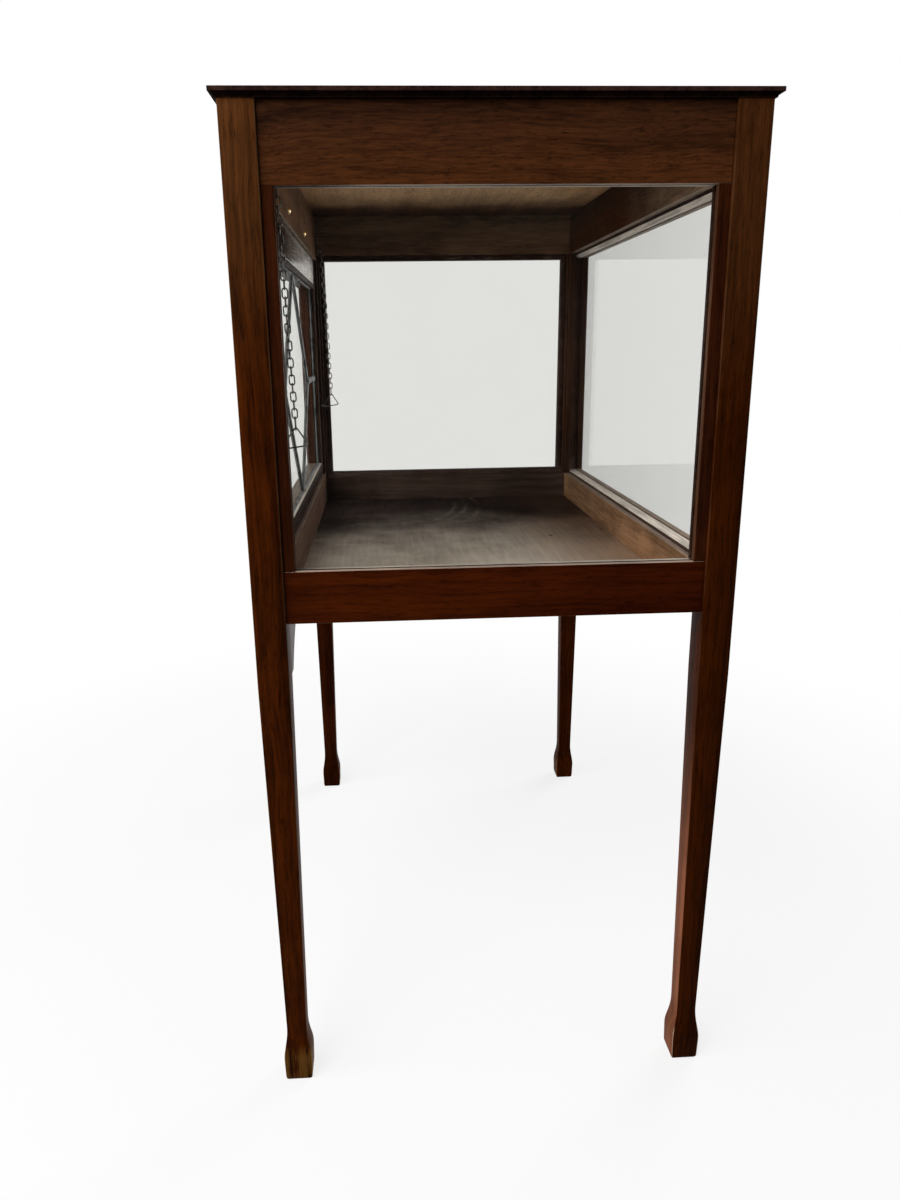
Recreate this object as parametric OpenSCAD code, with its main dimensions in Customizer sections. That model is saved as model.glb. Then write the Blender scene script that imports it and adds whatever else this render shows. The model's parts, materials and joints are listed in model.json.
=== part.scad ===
// Glazed oak display case on four tapered legs with spade feet.
// The front is a leaded drop flap, hinged along its lower edge and held by two chain stays.
// Millimetres, Z up. The origin lies on the ground in the middle of the feet, and the flap faces -Y.

/* [Case] */
// Length over the legs, along X
case_length = 775; // [650:5:950]
// Depth over the legs, along Y
case_depth = 500; // [420:5:620]
// Height from the ground to the top surface
case_height = 1062; // [980:1:1160]
// Height of the lower rails' underside
lower_rail_z = 569; // [540:1:600]

/* [Legs] */
// Side of the square leg above its taper
leg_side = 33; // [30:0.5:38]
// Height at which the taper starts
taper_z = 500; // [420:5:500]
// Side of the leg at its ankle
ankle_side = 23; // [19:0.5:26]
// Height of the ankle, where the spade foot flares out
ankle_z = 71; // [60:1:90]
// Height of the foot block
foot_height = 37; // [28:1:45]
// Side of the foot where it meets the ground
foot_base_side = 31; // [27:0.5:33]

/* [Rails] */
// Height of the upper rails
upper_rail_height = 70; // [56:1:80]
// Height of the lower rails
lower_rail_height = 55; // [48:1:64]
// How far the rails stand back from the legs' outer faces
rail_setback = 4; // [2:0.5:6]
// Thickness of the stub tenons
tenon_thickness = 8; // [6:0.5:9]
// Shoulder above and below a tenon
tenon_shoulder = 10; // [8:1:14]
// Play round a tenon in its mortise
tenon_gap = 0.1; // [0.05:0.05:0.2]

/* [Top] */
// Overhang of the top board beyond the legs
top_overhang = 6.5; // [5:0.5:14]
// Thickness of the top board
top_thickness = 8; // [8:0.5:14]
// Height of the square fillet above the cove
top_fillet = 4; // [3:0.5:5]
// Width of the flat quirk between fillet and cove
top_quirk = 0.75; // [0.5:0.25:2]
// Radius of the dowels that locate the top board
dowel_r = 4; // [3:0.25:4]
// Depth of a dowel in the leg
dowel_in_leg = 16; // [12:1:22]
// Depth of a dowel in the top board
dowel_in_top = 5; // [4:0.5:6]
// Radial play of a dowel in its hole
dowel_gap = 0.05; // [0.02:0.01:0.1]

/* [Glazing] */
// Thickness of the lip that holds a pane from outside
lip_thickness = 8; // [6:0.5:9]
// Height of the lip above the glazing ledge
rebate_depth = 8; // [6:0.5:10]
// Width of the upright glazing stiles beside the legs
stile_width = 12; // [11:0.5:20]
// Thickness of a plain pane
glass_thickness = 3; // [2:0.5:4]
// Play round a pane
glass_gap = 0.2; // [0.1:0.1:0.4]
// Width of a glazing bead across its foot
bead_width = 10; // [7:0.5:11]
// Chamfer along a bead's inner edge
bead_chamfer = 4; // [2:0.5:5]

/* [Floor] */
// Thickness of the floor board
floor_thickness = 5; // [4:0.5:8]
// Width of the rebate that carries the floor board
floor_lap = 10; // [8:1:14]
// Play round the floor board
floor_gap = 0.3; // [0.1:0.1:0.6]
// Distance of the outer floor screws from the middle of a long rail
floor_screw_x = 150; // [80:5:160]
// Distance of the floor screws from the middle of an end rail
floor_screw_y = 120; // [60:5:140]

/* [Brackets] */
// Length of a front bracket along the rail
bracket_length = 145; // [100:5:160]
// Drop of a front bracket along the leg
bracket_drop = 65; // [45:1:68]
// Thickness of a front bracket
bracket_thickness = 18; // [12:1:22]
// Height of a bracket at its tip
bracket_tip = 10; // [6:1:14]
// Width of a bracket at its heel
bracket_heel = 14; // [8:1:18]
// Radius of a bracket's hollow edge
bracket_sweep = 150; // [110:5:200]

/* [Flap] */
// Gap all round the flap
flap_gap = 1.5; // [1:0.25:3]
// Width of the flap's stiles
flap_stile = 40; // [34:1:52]
// Height of the flap's top rail
flap_top = 46; // [34:1:52]
// Height of the flap's bottom rail
flap_bottom = 22; // [22:1:46]
// Thickness of the flap frame's outer lip
flap_lip = 15.5; // [10:0.5:16]
// Depth of the flap frame's glazing rebate
flap_rebate = 8; // [6:0.5:10]
// Width of the stops behind the flap's stiles
stop_width = 10; // [6:0.5:14]
// Thickness of the stops behind the flap's stiles
stop_thickness = 4; // [3:0.25:5]
// Gap between the shut flap and its stops
stop_gap = 0.5; // [0.3:0.1:1]

/* [Leaded light] */
// Width of a lead came
came_width = 10; // [7:0.5:12]
// Thickness of a lead came
came_thickness = 5; // [5:0.25:7]
// Thickness of the web between two panes
came_web = 4; // [2.5:0.25:5]
// Half the width of the middle lozenge
lozenge_half = 170; // [110:5:200]
// Thickness of a leaded pane
pane_thickness = 2.5; // [2:0.25:3]
// Play round a leaded pane
pane_gap = 0.05; // [0.05:0.05:0.2]

/* [Hinges] */
// Length of a butt hinge
hinge_length = 50; // [40:2:64]
// Distance from a leg to the middle of a hinge
hinge_inset = 120; // [70:5:160]
// Radius of a hinge knuckle
knuckle_r = 3; // [2.5:0.25:3.5]
// Gap between a knuckle and the wood behind it
knuckle_gap = 0.3; // [0.2:0.1:0.6]
// Width of a leaf from the pin's axis
leaf_width = 26; // [22:1:27]
// Thickness of a leaf
leaf_thickness = 1.6; // [1.2:0.1:2]
// Gap between the two leaves of a shut hinge
leaf_gap = 0.3; // [0.2:0.05:0.5]
// Distance of the outer screws from the ends of a leaf
leaf_screw_margin = 7; // [5:0.5:10]
// Distance of the outer screws from the free edge of a leaf
leaf_screw_edge = 7; // [5:0.5:8]
// How far the middle screw is set back towards the knuckles
leaf_screw_stagger = 8; // [0:0.5:8]
// Radius of a hinge pin
pin_r = 1.25; // [1:0.05:1.5]
// Radial running clearance of a pin in its knuckles
pin_gap = 0.03; // [0.02:0.01:0.06]

/* [Screws] */
// Radius of a countersunk screw head
screw_head_r = 3; // [2.5:0.25:3.5]
// Radius of a screw's shank
screw_r = 1.4; // [1:0.1:1.6]
// Depth of a screw in the wood
screw_depth = 12; // [8:1:16]
// Play between a screw and its hole
screw_gap = 0.05; // [0.05:0.05:0.1]

/* [Stays] */
// Diameter of the wire of a chain link
link_wire = 1.4; // [1.2:0.1:1.8]
// Clear length inside a chain link
link_inner = 8.5; // [7.5:0.25:11]
// Clear length inside the last link of a chain
end_link_inner = 12; // [11:0.5:15]
// Radius of a link's round end, at the middle of its wire
link_bend = 2.65; // [2.5:0.05:3]
// Slack left between two links, and between a link and its eye
link_gap = 0.25; // [0.2:0.05:0.4]
// Diameter of the wire of a stay triangle
triangle_wire = 1.6; // [1.4:0.1:1.8]
// Reach of a stay triangle's apex from the flap eye, into the case
apex_reach = 13; // [9:0.5:15]
// Height of a stay triangle's apex above the flap eye
apex_rise = 17; // [14:0.5:20]
// Reach of a stay triangle's free corner from the flap eye, into the case
corner_reach = 22; // [18:0.5:26]
// Height of a stay triangle's free corner above the flap eye
corner_rise = 3; // [0:0.5:5]
// Least height of the flap eyes above the hinge axis
eye_height = 115; // [90:1:130]
// Height of the rail eyes above the upper rail's lower edge
hook_rise = 12; // [8:1:24]
// Distance of a flap eye from the flap's side edge
eye_inset = 15; // [13:0.5:26]
// Diameter of the wire of the screw eyes
eye_wire = 1.8; // [1.6:0.1:2]
// Radius of the ring of a flap eye, at the middle of its wire
flap_eye_r = 3; // [2.8:0.1:3.5]
// Radius of the ring of a rail eye, at the middle of its wire
rail_eye_r = 4; // [3.6:0.1:5]
// Radius of the shank of a screw eye
eye_shank_r = 1.1; // [0.9:0.05:1.2]
// Shank that shows between the wood and the ring
eye_neck = 1; // [0.5:0.25:2]
// Depth of a screw eye in the wood
eye_depth = 11; // [8:1:13]

/* [Turn buttons] */
// Distance of a turn button from the middle of the case
button_x = 112; // [80:1:200]
// Height of a turn button's pivot above the flap's top edge
button_rise = 17.5; // [14:0.5:22]
// Length of a turn button
button_length = 48; // [44:1:56]
// Width of a turn button
button_width = 12; // [11:0.5:14]
// Thickness of a turn button
button_thickness = 3; // [2:0.25:3]
// Gap on either side of a turn button
button_gap = 0.4; // [0.3:0.1:0.5]
// Radius of a button bolt
bolt_r = 2.5; // [2:0.1:2.8]
// Radial running clearance of a button on its bolt
bolt_gap = 0.05; // [0.03:0.01:0.1]
// Radius of the domed head and of the domed nut
dome_r = 4.5; // [4:0.1:5]
// Height of the domed head and of the domed nut
dome_height = 3; // [2.5:0.1:3.5]

/* [Hidden] */
$fn = 32;

half_length = case_length / 2;
half_depth = case_depth / 2;
end_span = case_depth - 2 * leg_side;
side_span = case_length - 2 * leg_side;
board_z = case_height - top_thickness;
upper_rail_z = board_z - upper_rail_height;
opening_z = lower_rail_z + lower_rail_height;
opening_height = upper_rail_z - opening_z;
rail_thickness = leg_side - rail_setback;
rail_middle = rail_setback + rail_thickness / 2;
mortise_wall = 1;
// How far a cut runs past the face that it opens
cut_over = 1;
tenon_length = leg_side - rail_middle - tenon_thickness / 2 - mortise_wall;
glass_face = rail_setback + lip_thickness + glass_gap;
bead_face = glass_face + glass_thickness + glass_gap;
mitre_gap = 0.1;
cove_r = top_thickness - top_fillet;
leg_x = half_length - leg_side / 2;
leg_y = half_depth - leg_side / 2;
leg_corners = [[1, -1], [-1, -1], [1, 1], [-1, 1]];

flap_width = side_span - 2 * flap_gap;
flap_height = opening_height - 2 * flap_gap;
flap_z = opening_z + flap_gap;
flap_face_y = rail_setback - half_depth;
flap_thickness = rail_thickness - stop_thickness - stop_gap;
flap_back_y = flap_face_y + flap_thickness;
light_width = flap_width - 2 * flap_stile;
light_height = flap_height - flap_top - flap_bottom;
light_z = flap_z + flap_bottom + light_height / 2;
flap_tenon = 14;
panel_gap = 0.3;
panel_width = light_width + 2 * (flap_rebate - panel_gap);
panel_height = light_height + 2 * (flap_rebate - panel_gap);
panel_face_y = flap_face_y + flap_lip + panel_gap;
flap_bead_y = panel_face_y + came_thickness + panel_gap;
flap_bead_thickness = flap_back_y - flap_bead_y;

hinge_y = flap_face_y - knuckle_r - knuckle_gap;
hinge_z = opening_z + flap_gap / 2;
hinge_x = side_span / 2 - hinge_inset;
knuckle_count = 5;
knuckle_end_gap = 0.15;
gain_gap = 0.1;
leaf_root_gap = 0.2;
screw_spread = hinge_length / 2 - leaf_screw_margin;
screw_row = leaf_width - leaf_screw_edge;
screw_rows = [screw_row, screw_row - leaf_screw_stagger, screw_row];
floor_screw_line = floor_lap / 2;

link_wire_r = link_wire / 2;
triangle_r = triangle_wire / 2;
eye_wire_r = eye_wire / 2;
link_pitch = link_inner - link_gap;
eye_x = flap_width / 2 - eye_inset;
eye_y = flap_back_y + eye_neck + 2 * flap_eye_r + eye_wire_r;
hook_y = leg_side - half_depth + eye_neck + 2 * rail_eye_r + eye_wire_r;
hook_z = upper_rail_z + hook_rise;
first_link = link_inner / 2 - eye_wire_r - link_gap;
end_link_step = (link_inner + end_link_inner) / 2 - link_gap;
end_link_reach = end_link_inner / 2 + link_wire_r;
shortest_chain = first_link + end_link_step + end_link_reach;
chain_room = hook_z - hinge_z - eye_height - apex_rise;
// An odd count, so that the last link lies across the triangle
link_count = 1 + 2 * floor((chain_room - shortest_chain) / (2 * link_pitch));
end_link = first_link + (link_count - 1) * link_pitch + end_link_step;
chain_length = end_link + end_link_reach;
chain_run_y = eye_y + apex_reach - hook_y;
chain_tilt = asin(chain_run_y / chain_length);
eye_z = hook_z - chain_length * cos(chain_tilt) - apex_rise;
triangle_bend = max(eye_wire_r, link_wire_r) + triangle_r + link_gap;
rod_lap = 0.1;
rod_step = 0.02;

button_z = flap_z + flap_height + button_rise;
bolt_length = rail_thickness + button_thickness + 2 * button_gap;
nut_grip = 2;

oak = "#4a2113";
oak_inside = "#6b4a34";
brass = "#b08d46";
steel = "#4a4744";
lead = "#3d3f42";
clear_glass = [0.8, 0.88, 0.86, 0.35];

// Each side is drawn in a frame of its own: X along the side, Y inwards from the legs' outer faces, Z up.
module on_front() { translate([0, -half_depth, 0]) children(); }
module on_back() { translate([0, half_depth, 0]) rotate([0, 0, 180]) children(); }
module on_right() { translate([half_length, 0, 0]) rotate([0, 0, 90]) children(); }
module on_left() { translate([-half_length, 0, 0]) rotate([0, 0, -90]) children(); }

// A box centred on X, with its near lower edge at y and z
module bar(length, y, z, depth, height) {
    translate([-length / 2, y, z]) cube([length, depth, height]);
}

// Outline of a leg seen from any side: taper, hollow flare and foot block
module leg_outline() {
    half = leg_side / 2;
    ankle = ankle_side / 2;
    flare_w = half - ankle;
    flare_h = ankle_z - foot_height;
    flare_r = (flare_h * flare_h + flare_w * flare_w) / (2 * flare_w);
    right = [
        [foot_base_side / 2, 0], [half, foot_height], [half, ankle_z],
        [ankle, ankle_z], [half, taper_z], [half, board_z]
    ];
    left = [for (i = [len(right) - 1 : -1 : 0]) [-right[i].x, right[i].y]];
    difference() {
        polygon(concat(right, left));
        for (side = [-1, 1])
            translate([side * (ankle + flare_r), ankle_z]) circle(r = flare_r, $fn = 180);
    }
}

// The tenons at both ends of a rail of this span, grown by a play
module tenons(span, z, height, play) {
    for (side = [-1, 1])
        translate([side * (span + tenon_length) / 2, 0, 0])
            bar(
                tenon_length + 2 * play, rail_middle - tenon_thickness / 2 - play,
                z + tenon_shoulder - play, tenon_thickness + 2 * play, height - 2 * tenon_shoulder + 2 * play
            );
}

// The mortises of every rail, cut from the legs
module mortises() {
    for (level = [[lower_rail_z, lower_rail_height], [upper_rail_z, upper_rail_height]]) {
        on_front() tenons(side_span, level[0], level[1], tenon_gap);
        on_back() tenons(side_span, level[0], level[1], tenon_gap);
        on_right() tenons(end_span, level[0], level[1], tenon_gap);
        on_left() tenons(end_span, level[0], level[1], tenon_gap);
    }
}

// Dowels that stand in the tops of the legs, grown by a play
module dowels(play) {
    for (corner = leg_corners)
        translate([corner.x * leg_x, corner.y * leg_y, board_z - dowel_in_leg - play])
            cylinder(r = dowel_r + play, h = dowel_in_leg + dowel_in_top + 2 * play);
}

module leg(corner) {
    color(oak) difference() {
        translate([corner.x * leg_x, corner.y * leg_y, 0])
            intersection() {
                rotate([90, 0, 0]) linear_extrude(leg_side, center = true) leg_outline();
                rotate([90, 0, 90]) linear_extrude(leg_side, center = true) leg_outline();
            }
        mortises();
        dowels(dowel_gap);
    }
}

module top_board() {
    long = half_length + top_overhang;
    deep = half_depth + top_overhang;
    cove_x = long - top_quirk;
    cove_y = deep - top_quirk;
    color(oak) difference() {
        translate([0, 0, board_z]) union() {
            translate([-long, -deep, cove_r]) cube([2 * long, 2 * deep, top_fillet]);
            translate([-cove_x, -cove_y, 0]) cube([2 * cove_x, 2 * cove_y, cove_r]);
        }
        for (side = [-1, 1]) {
            translate([side * cove_x, 0, board_z])
                rotate([90, 0, 0]) cylinder(r = cove_r, h = 2 * deep, center = true);
            translate([0, side * cove_y, board_z])
                rotate([0, 90, 0]) cylinder(r = cove_r, h = 2 * long, center = true);
        }
        dowels(dowel_gap);
    }
}

module top_dowels() { color(oak_inside) dowels(0); }

// Upper rail with its lip along the lower edge, or a plain one without a lip
module upper_rail(span, rebate) {
    color(oak) union() {
        bar(span, rail_setback, upper_rail_z + rebate, rail_thickness, upper_rail_height - rebate);
        if (rebate > 0) bar(span, rail_setback, upper_rail_z, lip_thickness, upper_rail_height);
        tenons(span, upper_rail_z, upper_rail_height, 0);
    }
}

// Lower rail with its lip along the upper edge, and a rebate below for the floor board
module lower_rail(span, rebate) {
    color(oak) difference() {
        union() {
            bar(span, rail_setback, lower_rail_z, rail_thickness, lower_rail_height - rebate);
            if (rebate > 0) bar(span, rail_setback, lower_rail_z, lip_thickness, lower_rail_height);
            tenons(span, lower_rail_z, lower_rail_height, 0);
        }
        bar(
            span + 2 * cut_over, leg_side - floor_lap, lower_rail_z - cut_over,
            floor_lap + cut_over, floor_thickness + cut_over
        );
        floor_screw_holes(span);
    }
}

// Places of the floor screws along a rail, counted from its middle
function floor_screw_places(span) =
    span == side_span ? [-floor_screw_x, 0, floor_screw_x] : [-floor_screw_y, floor_screw_y];

// Pilot holes for the floor screws, up into a rail
module floor_screw_holes(span) {
    for (x = floor_screw_places(span))
        translate([x, leg_side - floor_screw_line, lower_rail_z]) screw_hole();
}

module upper_rail_front() {
    difference() {
        on_front() upper_rail(side_span, 0);
        for (side = [-1, 1])
            translate([side * button_x, -half_depth, button_z])
                rotate([-90, 0, 0]) cylinder(r = bolt_r + bolt_gap, h = 2 * leg_side);
        for (side = [-1, 1])
            translate([side * eye_x, hook_y, hook_z]) eye_hole(rail_eye_r);
    }
}

module lower_rail_front() {
    difference() {
        on_front() lower_rail(side_span, 0);
        for (side = [-1, 1])
            translate([side * hinge_x, hinge_y, hinge_z]) hinge_gain(-1);
    }
}

// The two upright glazing stiles of a side: a lip in front, a thin body behind it
module stiles(span) {
    color(oak) for (side = [0, 1])
        mirror([side, 0, 0])
            translate([-span / 2, rail_setback, 0]) union() {
                translate([0, 0, opening_z]) cube([stile_width, lip_thickness, opening_height]);
                translate([0, lip_thickness, opening_z - rebate_depth])
                    cube([
                        stile_width - rebate_depth, rail_thickness - lip_thickness,
                        opening_height + 2 * rebate_depth
                    ]);
            }
}

// Clear width and height of the space between the glazing ledges of a side
function ledge_width(span) = span - 2 * (stile_width - rebate_depth);
function ledge_height() = opening_height + 2 * rebate_depth;

module pane(span) {
    color(clear_glass)
        bar(
            ledge_width(span) - 2 * glass_gap, glass_face, opening_z - rebate_depth + glass_gap,
            glass_thickness, ledge_height() - 2 * glass_gap
        );
}

// One bead with mitred ends, lying along X with its foot at z = 0
module mitred_bead(length, depth, height, chamfer) {
    end = length / 2 - mitre_gap;
    intersection() {
        translate([-length / 2, 0, 0])
            rotate([90, 0, 90]) linear_extrude(length)
                polygon([
                    [0, 0], [depth, 0], [depth, height - chamfer], [depth - chamfer, height], [0, height]
                ]);
        rotate([90, 0, 0]) linear_extrude(2 * depth, center = true)
            polygon([[-end, 0], [end, 0], [end - height, height], [height - end, height]]);
    }
}

// Four mitred beads round an opening that is centred on X and on z
module bead_frame(width, height, y, z, depth, rise, chamfer) {
    translate([0, y, z]) for (turn = [0 : 3]) {
        across = turn % 2 == 0;
        rotate([0, 90 * turn, 0])
            translate([0, 0, -(across ? height : width) / 2])
                mitred_bead(across ? width : height, depth, rise, chamfer);
    }
}

module beads(span) {
    color(oak_inside)
        bead_frame(
            ledge_width(span), ledge_height(), bead_face, opening_z + opening_height / 2,
            bead_width, rebate_depth, bead_chamfer
        );
}

module floor_board() {
    reach_x = half_length - leg_side + floor_lap - floor_gap;
    reach_y = half_depth - leg_side + floor_lap - floor_gap;
    notch_x = half_length - leg_side - floor_gap;
    notch_y = half_depth - leg_side - floor_gap;
    color(oak_inside) difference() {
        translate([0, 0, lower_rail_z]) union() {
            translate([-reach_x, -notch_y, 0]) cube([2 * reach_x, 2 * notch_y, floor_thickness]);
            translate([-notch_x, -reach_y, 0]) cube([2 * notch_x, 2 * reach_y, floor_thickness]);
        }
        floor_screw_places_all() screw_hole();
    }
}

// A copy of the children at every floor screw
module floor_screw_places_all() {
    for (x = floor_screw_places(side_span)) {
        on_front() translate([x, leg_side - floor_screw_line, lower_rail_z]) children();
        on_back() translate([x, leg_side - floor_screw_line, lower_rail_z]) children();
    }
    for (x = floor_screw_places(end_span)) {
        on_right() translate([x, leg_side - floor_screw_line, lower_rail_z]) children();
        on_left() translate([x, leg_side - floor_screw_line, lower_rail_z]) children();
    }
}

// Countersunk screw that points up, with its slotted head flush at z = 0
module screw() {
    head_height = screw_head_r - screw_r;
    difference() {
        union() {
            cylinder(r1 = screw_head_r, r2 = screw_r, h = head_height);
            cylinder(r = screw_r, h = screw_depth);
        }
        translate([0, 0, -cut_over]) linear_extrude(cut_over + head_height / 3)
            square([2 * screw_head_r, screw_r / 2], center = true);
    }
}

// Hole for that screw, open at z = 0
module screw_hole() {
    head_height = screw_head_r - screw_r;
    translate([0, 0, -screw_gap])
        cylinder(r1 = screw_head_r + 2 * screw_gap, r2 = screw_r + screw_gap, h = head_height + screw_gap);
    cylinder(r = screw_r + screw_gap, h = screw_depth + screw_gap);
}

module floor_screws() { color(steel) floor_screw_places_all() screw(); }

// Front bracket below the lower rail, hollowed along its free edge
module bracket(side) {
    tip = [bracket_length, -bracket_tip];
    heel = [bracket_heel, -bracket_drop];
    chord = tip - heel;
    half_chord = norm(chord) / 2;
    normal = [chord.y, -chord.x] / norm(chord);
    centre = (tip + heel) / 2 + sqrt(bracket_sweep * bracket_sweep - half_chord * half_chord) * normal;
    color(oak) on_front()
        mirror([side > 0 ? 1 : 0, 0, 0])
            translate([-side_span / 2, leg_side, lower_rail_z])
                rotate([90, 0, 0]) linear_extrude(bracket_thickness) difference() {
                    translate([0, -bracket_drop]) square([bracket_length, bracket_drop]);
                    translate(centre) circle(r = bracket_sweep, $fn = 180);
                }
}

// Stops that the shut flap's stiles lie against
module flap_stops() {
    color(oak) on_front()
        for (side = [0, 1])
            mirror([side, 0, 0])
                translate([-side_span / 2, leg_side - stop_thickness, opening_z])
                    cube([stop_width, stop_thickness, opening_height]);
}

// One stile of the flap: thick at its outer edge, a lip along its inner edge, mortised for the rails
module flap_stile(side) {
    inner = light_width / 2;
    color(oak) difference() {
        translate([0, flap_face_y, 0]) mirror([side > 0 ? 0 : 1, 0, 0]) union() {
            translate([inner, 0, flap_z]) cube([flap_stile, flap_lip, flap_height]);
            translate([inner + flap_rebate, flap_lip, flap_z])
                cube([flap_stile - flap_rebate, flap_thickness - flap_lip, flap_height]);
        }
        flap_tenons(flap_z, flap_bottom - flap_rebate, tenon_gap);
        flap_tenons(flap_z + flap_height - flap_top + flap_rebate, flap_top - flap_rebate, tenon_gap);
        translate([side * eye_x, eye_y, eye_z]) eye_hole(flap_eye_r);
    }
}

// Tenons of a flap rail whose solid part spans this height, grown by a play
module flap_tenons(z, height, play) {
    length = flap_tenon + flap_rebate;
    for (side = [-1, 1])
        translate([side * (light_width + length) / 2, flap_face_y, 0])
            bar(
                length + 2 * play, flap_lip - tenon_thickness / 2 - play,
                z + height / 4 - play, tenon_thickness + 2 * play, height / 2 + 2 * play
            );
}

// One rail of the flap, between the stiles; its lip lies towards the light
module flap_rail(z, height, solid_z) {
    solid = height - flap_rebate;
    color(oak) union() {
        bar(light_width, flap_face_y, z, flap_lip, height);
        bar(light_width + 2 * flap_rebate, flap_face_y + flap_lip, solid_z, flap_thickness - flap_lip, solid);
        flap_tenons(solid_z, solid, 0);
    }
}

module flap_top_rail() {
    z = flap_z + flap_height - flap_top;
    flap_rail(z, flap_top, z + flap_rebate);
}

module flap_bottom_rail() {
    difference() {
        flap_rail(flap_z, flap_bottom, flap_z);
        for (side = [-1, 1])
            translate([side * hinge_x, hinge_y, hinge_z]) hinge_gain(1);
    }
}

// Corners of the leaded cells, in the plane of the light, each listed anticlockwise
lozenge = [[lozenge_half, 0], [0, panel_height / 2], [-lozenge_half, 0], [0, -panel_height / 2]];
corner_cell = [
    [lozenge_half, 0], [panel_width / 2, 0], [panel_width / 2, panel_height / 2], [0, panel_height / 2]
];
function mirrored(cell, x, y) =
    [for (i = [0 : len(cell) - 1]) let (p = cell[x * y > 0 ? i : len(cell) - 1 - i]) [x * p.x, y * p.y]];
cells = concat([lozenge], [for (x = [-1, 1], y = [-1, 1]) mirrored(corner_cell, x, y)]);

// A convex outline with every edge moved in by a distance
function inset(cell, by) = [
    for (i = [0 : len(cell) - 1])
        let (
            p = cell[i],
            to = cell[(i + 1) % len(cell)] - p,
            from = p - cell[(i + len(cell) - 1) % len(cell)],
            a = from / norm(from),
            b = to / norm(to),
            shift = by / (1 + a * b)
        )
        p + shift * ([-a.y, a.x] + [-b.y, b.x])
];

// A strip of the came's width between two points
module came_strip(from, to) {
    run = to - from;
    translate((from + to) / 2) rotate(atan2(run.y, run.x)) square([norm(run), came_width], center = true);
}

// A copy of the children in the plane of the leaded light, with their Z pointing inwards
module on_light(depth) {
    translate([0, panel_face_y + depth, light_z]) rotate([90, 0, 0]) mirror([0, 0, 1]) children();
}

module lead_cames() {
    slot = pane_thickness + 2 * pane_gap;
    color(lead) difference() {
        on_light(0) linear_extrude(came_thickness) {
            difference() {
                square([panel_width, panel_height], center = true);
                square([panel_width - 2 * came_width, panel_height - 2 * came_width], center = true);
            }
            intersection() {
                square([panel_width, panel_height], center = true);
                union() {
                    for (i = [0 : 3]) came_strip(lozenge[i], lozenge[(i + 1) % 4]);
                    for (side = [-1, 1]) came_strip([side * lozenge_half, 0], [side * panel_width / 2, 0]);
                }
            }
        }
        on_light((came_thickness - slot) / 2) linear_extrude(slot)
            for (cell = cells) polygon(inset(cell, came_web / 2));
    }
}

module leaded_panes() {
    color(clear_glass)
        on_light((came_thickness - pane_thickness) / 2) linear_extrude(pane_thickness)
            for (cell = cells) polygon(inset(cell, came_web / 2 + pane_gap));
}

module flap_beads() {
    color(oak)
        bead_frame(
            light_width + 2 * flap_rebate, light_height + 2 * flap_rebate, flap_bead_y, light_z,
            flap_bead_thickness, flap_rebate, flap_bead_thickness / 3
        );
}

// Recess for one leaf of a hinge, with its screw holes; below the axis for -1, above it for 1
module hinge_gain(side) {
    mirror([0, 0, side > 0 ? 0 : 1]) {
        translate([-hinge_length / 2 - gain_gap, 0, -gain_gap])
            cube([
                hinge_length + 2 * gain_gap, leaf_width + gain_gap,
                leaf_gap / 2 + leaf_thickness + 2 * gain_gap
            ]);
        at_hinge_screws() screw_hole();
    }
}

// A copy of the children at each screw of a leaf that lies above the hinge axis
module at_hinge_screws() {
    for (i = [0 : 2])
        translate([(i - 1) * screw_spread, screw_rows[i], leaf_gap / 2]) children();
}

// One leaf with its knuckles; the case leaf has the odd ones and the flap leaf the even ones
module hinge_leaf(side) {
    knuckle = hinge_length / knuckle_count;
    root = knuckle_r + leaf_root_gap;
    color(brass) mirror([0, 0, side > 0 ? 0 : 1]) difference() {
        union() {
            translate([-hinge_length / 2, root, leaf_gap / 2])
                cube([hinge_length, leaf_width - root, leaf_thickness]);
            for (i = [side > 0 ? 1 : 0 : 2 : knuckle_count - 1])
                translate([(i - knuckle_count / 2) * knuckle + knuckle_end_gap, 0, 0]) {
                    rotate([0, 90, 0]) cylinder(r = knuckle_r, h = knuckle - 2 * knuckle_end_gap);
                    translate([0, 0, leaf_gap / 2])
                        cube([knuckle - 2 * knuckle_end_gap, root, leaf_thickness]);
                }
        }
        rotate([0, 90, 0]) cylinder(r = pin_r + pin_gap, h = 2 * hinge_length, center = true);
        at_hinge_screws() screw_hole();
    }
}

// A leaf at its place; side is 1 at the right end, and level is 1 for the flap leaf
module placed_leaf(side, level) { translate([side * hinge_x, hinge_y, hinge_z]) hinge_leaf(level); }

module hinge_pins() {
    color(brass) for (side = [-1, 1])
        translate([side * hinge_x, hinge_y, hinge_z])
            rotate([0, 90, 0]) cylinder(r = pin_r, h = hinge_length + pin_r, center = true);
}

// Screws of both leaves on one side of the hinge axis
module hinge_screws(level) {
    color(brass) for (side = [-1, 1])
        translate([side * hinge_x, hinge_y, hinge_z])
            mirror([0, 0, level > 0 ? 0 : 1]) at_hinge_screws() screw();
}

// Screw eye whose ring lies flat; the origin is in the wire at the far side of the ring
module screw_eye(ring_r) {
    neck_y = -2 * ring_r - eye_wire_r - eye_neck;
    color(steel) union() {
        translate([0, -ring_r, 0]) rotate_extrude() translate([ring_r, 0]) circle(r = eye_wire_r);
        translate([0, neck_y - eye_depth, 0])
            rotate([-90, 0, 0]) cylinder(r = eye_shank_r, h = eye_depth + eye_neck + eye_wire_r);
    }
}

// Hole for the shank of that eye
module eye_hole(ring_r) {
    translate([0, -2 * ring_r - eye_wire_r - eye_neck - eye_depth - screw_gap, 0])
        rotate([-90, 0, 0]) cylinder(r = eye_shank_r + screw_gap, h = eye_depth + 2 * screw_gap);
}

module rail_eyes() {
    for (side = [-1, 1]) translate([side * eye_x, hook_y, hook_z]) screw_eye(rail_eye_r);
}

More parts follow.
